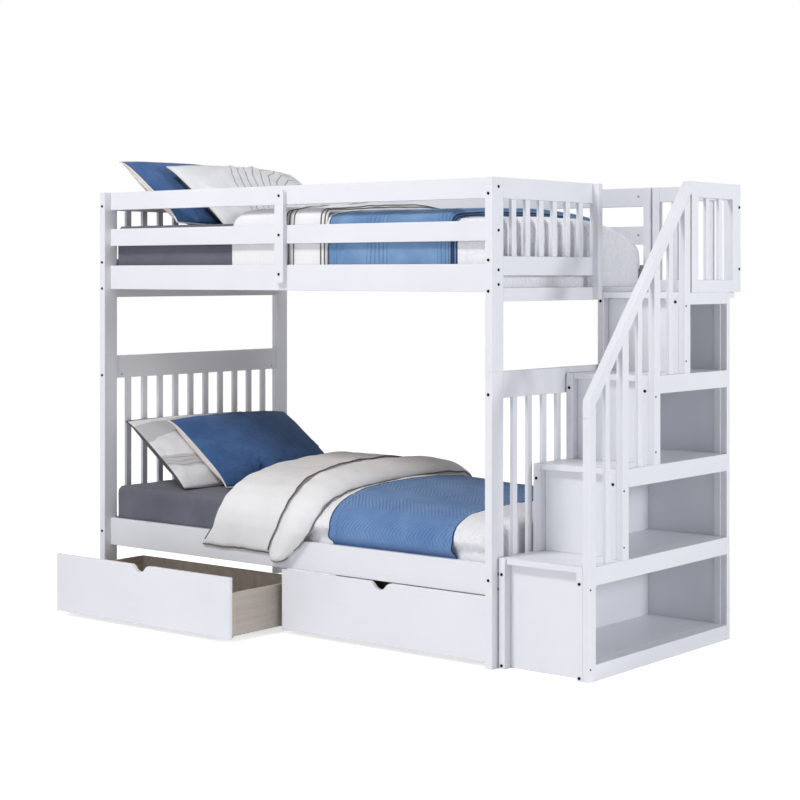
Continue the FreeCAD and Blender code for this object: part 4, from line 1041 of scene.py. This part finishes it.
def pillow(name, seed):
    """Leaning pillow: even round its seam, and inside that as full as it was blown."""
    *crowns, front, back, edge_finish = PILLOWS[name]
    kind, bed = name.split("_")[1:]
    slot = {"striped": "striped_cotton", "blue": "blue_quilt"}[kind]
    low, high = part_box(name)
    down = Vector((high.x - low.x, 0, low.z - high.z))
    length, width = down.length, high.y - low.y
    down.normalize()
    out = Vector((-down.z, 0, down.x))
    a = np.linspace(-0.5, 0.5, 46)[:, None] * length
    b = np.linspace(-0.5, 0.5, 74)[None, :] * width
    far_a, far_b = (np.abs(c / c.max()).clip(0, 1) for c in (a, b))
    rise = (1 - far_a**2.6) ** 0.55 * (1 - far_b**3.2) ** 0.55
    wrinkle = ripple(grid_of(a, b), 0.13, seed, 4)
    dome = {"lower": 0.045, "upper": 0.09}[bed] * (1 - far_b**2)
    forward = {"striped": 0.013, "blue": 0.022}[kind] * step(-b, 0.10, 0.30)
    forward = forward * (1 - rise) ** 3 * (1 - 0.75 * far_a**5)
    bow_a = np.where(a < 0, 1 + dome, 1 - 0.04 * far_b**4)
    bow_b = 1 - 0.012 * (1 - far_a**2)
    puffed = rise * (1 + 0.04 * wrinkle) * 0.92
    even = [
        grid_of(a * bow_a, b * bow_b, puffed * crown + forward)
        for crown in (crowns[0], -crowns[1])
    ]
    blown = blown_up(a, b, rise, wrinkle, bow_a, bow_b, crowns)
    from_seam = np.minimum(length / 2 - np.abs(a), width / 2 - np.abs(b))
    loose = step(from_seam, 0.012, 0.11)[..., None]
    halves = [rim + (full - rim) * loose for rim, full in zip(even, blown)]
    centre = (low + high) / 2 - Vector((0, 0, LOWERED.get(name, 0.0)))
    halves = [half @ np.array([down, (0, 1, 0), out]) + np.array(centre) for half in halves]
    for half in halves:
        half[..., 2] = np.maximum(half[..., 2], MATTRESS_TOP[bed] / 1000 + 0.0035)
        half[..., 0] = np.maximum(half[..., 0], low.x - 0.004)
    piece = two_skins(name + "_case", *halves, [front, back], shared_edge=True)
    on_bed(piece, slot, name)
    seam = rim_of(halves[0])
    cord = piping(name + "_piping", [seam], 0.003, edge_finish, slot, closed=True)


for seed, name in enumerate(PILLOWS, 61):
    pillow(name, seed)


# ---------------- floor, light and camera


def floor():
    """A pale floor that the camera sees as nearly white, and that still takes shadows."""
    mesh = bpy.data.meshes.new("floor")
    mesh.from_pydata([(-60, -40, 0), (40, -40, 0), (40, 60, 0), (-60, 60, 0)], [], [(0, 1, 2, 3)])
    f = Finish("pale_floor", Specular_IOR_Level=0.0)
    f.shader.inputs["Emission Color"].default_value = (1, 1, 1, 1)
    seen = f.node("LightPath").outputs["Is Camera Ray"]
    f.give(f.shader.inputs["Emission Strength"], f.math("MULTIPLY", seen, 0.7))
    speck = f.noise(40.0, 2.0)
    mesh.materials.append(f.done(f.blend(speck, (250, 250, 251), (253, 253, 253)), 0.9))
    put("floor", mesh)


def soft_light(name, place_at, aim, size, power, colour):
    """A round lamp of that size, turned towards the point it aims at."""
    lamp = bpy.data.lights.new(name, "AREA")
    lamp.shape, lamp.size, lamp.energy, lamp.color = "DISK", size, power, colour
    holder = put(name, lamp)
    holder.location = place_at
    holder.rotation_euler = (Vector(aim) - Vector(place_at)).to_track_quat("-Z", "Y").to_euler()


def studio():
    """White where the background shows, a dim cool room elsewhere, and three soft lamps."""
    floor()
    SCENE.world = bpy.data.worlds.new("studio")
    SCENE.world.use_nodes = True
    SCENE.world.node_tree.nodes.clear()
    w = Nodes(SCENE.world.node_tree, "ShaderNode")
    rays = w.node("LightPath").outputs
    seen = w.math("MAXIMUM", rays["Is Camera Ray"], rays["Is Transmission Ray"])
    seen = w.math("MAXIMUM", seen, rays["Is Glossy Ray"])
    shown = w.node("Background", {"Color": (1, 1, 1, 1), "Strength": 1.0})
    room = w.node("Background", {"Color": (0.95, 0.965, 1.0, 1), "Strength": 0.33})
    pick = w.node("MixShader", {0: seen, 1: room.outputs[0], 2: shown.outputs[0]})
    w.node("OutputWorld", {0: pick.outputs[0]})
    soft_light("key", (-0.7, -4.9, 6.4), (0.2, 0, 0.8), 1.8, 292, (1.0, 0.985, 0.98))
    soft_light("front", (0.6, -7.5, 1.9), (0.2, 0, 0.7), 3.0, 80, (0.97, 0.98, 1.0))
    soft_light("fill", (8.0, 0.5, 2.4), (0.4, 0, 0.8), 2.2, 248, (0.97, 0.98, 1.0))


def camera():
    """A level camera whose lens is shifted, so that uprights stay upright."""
    lens = bpy.data.cameras.new("photo_camera")
    lens.lens, lens.sensor_width = 82.71, 36.0
    lens.shift_x, lens.shift_y = 0.0, -0.1572
    eye = put("photo_camera", lens)
    eye.location = (4.5081, -5.52055, 1.3552)
    eye.rotation_euler = (math.pi / 2, 0, math.radians(38.8642))
    SCENE.camera = eye


studio()
camera()
SCENE.view_settings.view_transform = "Standard"
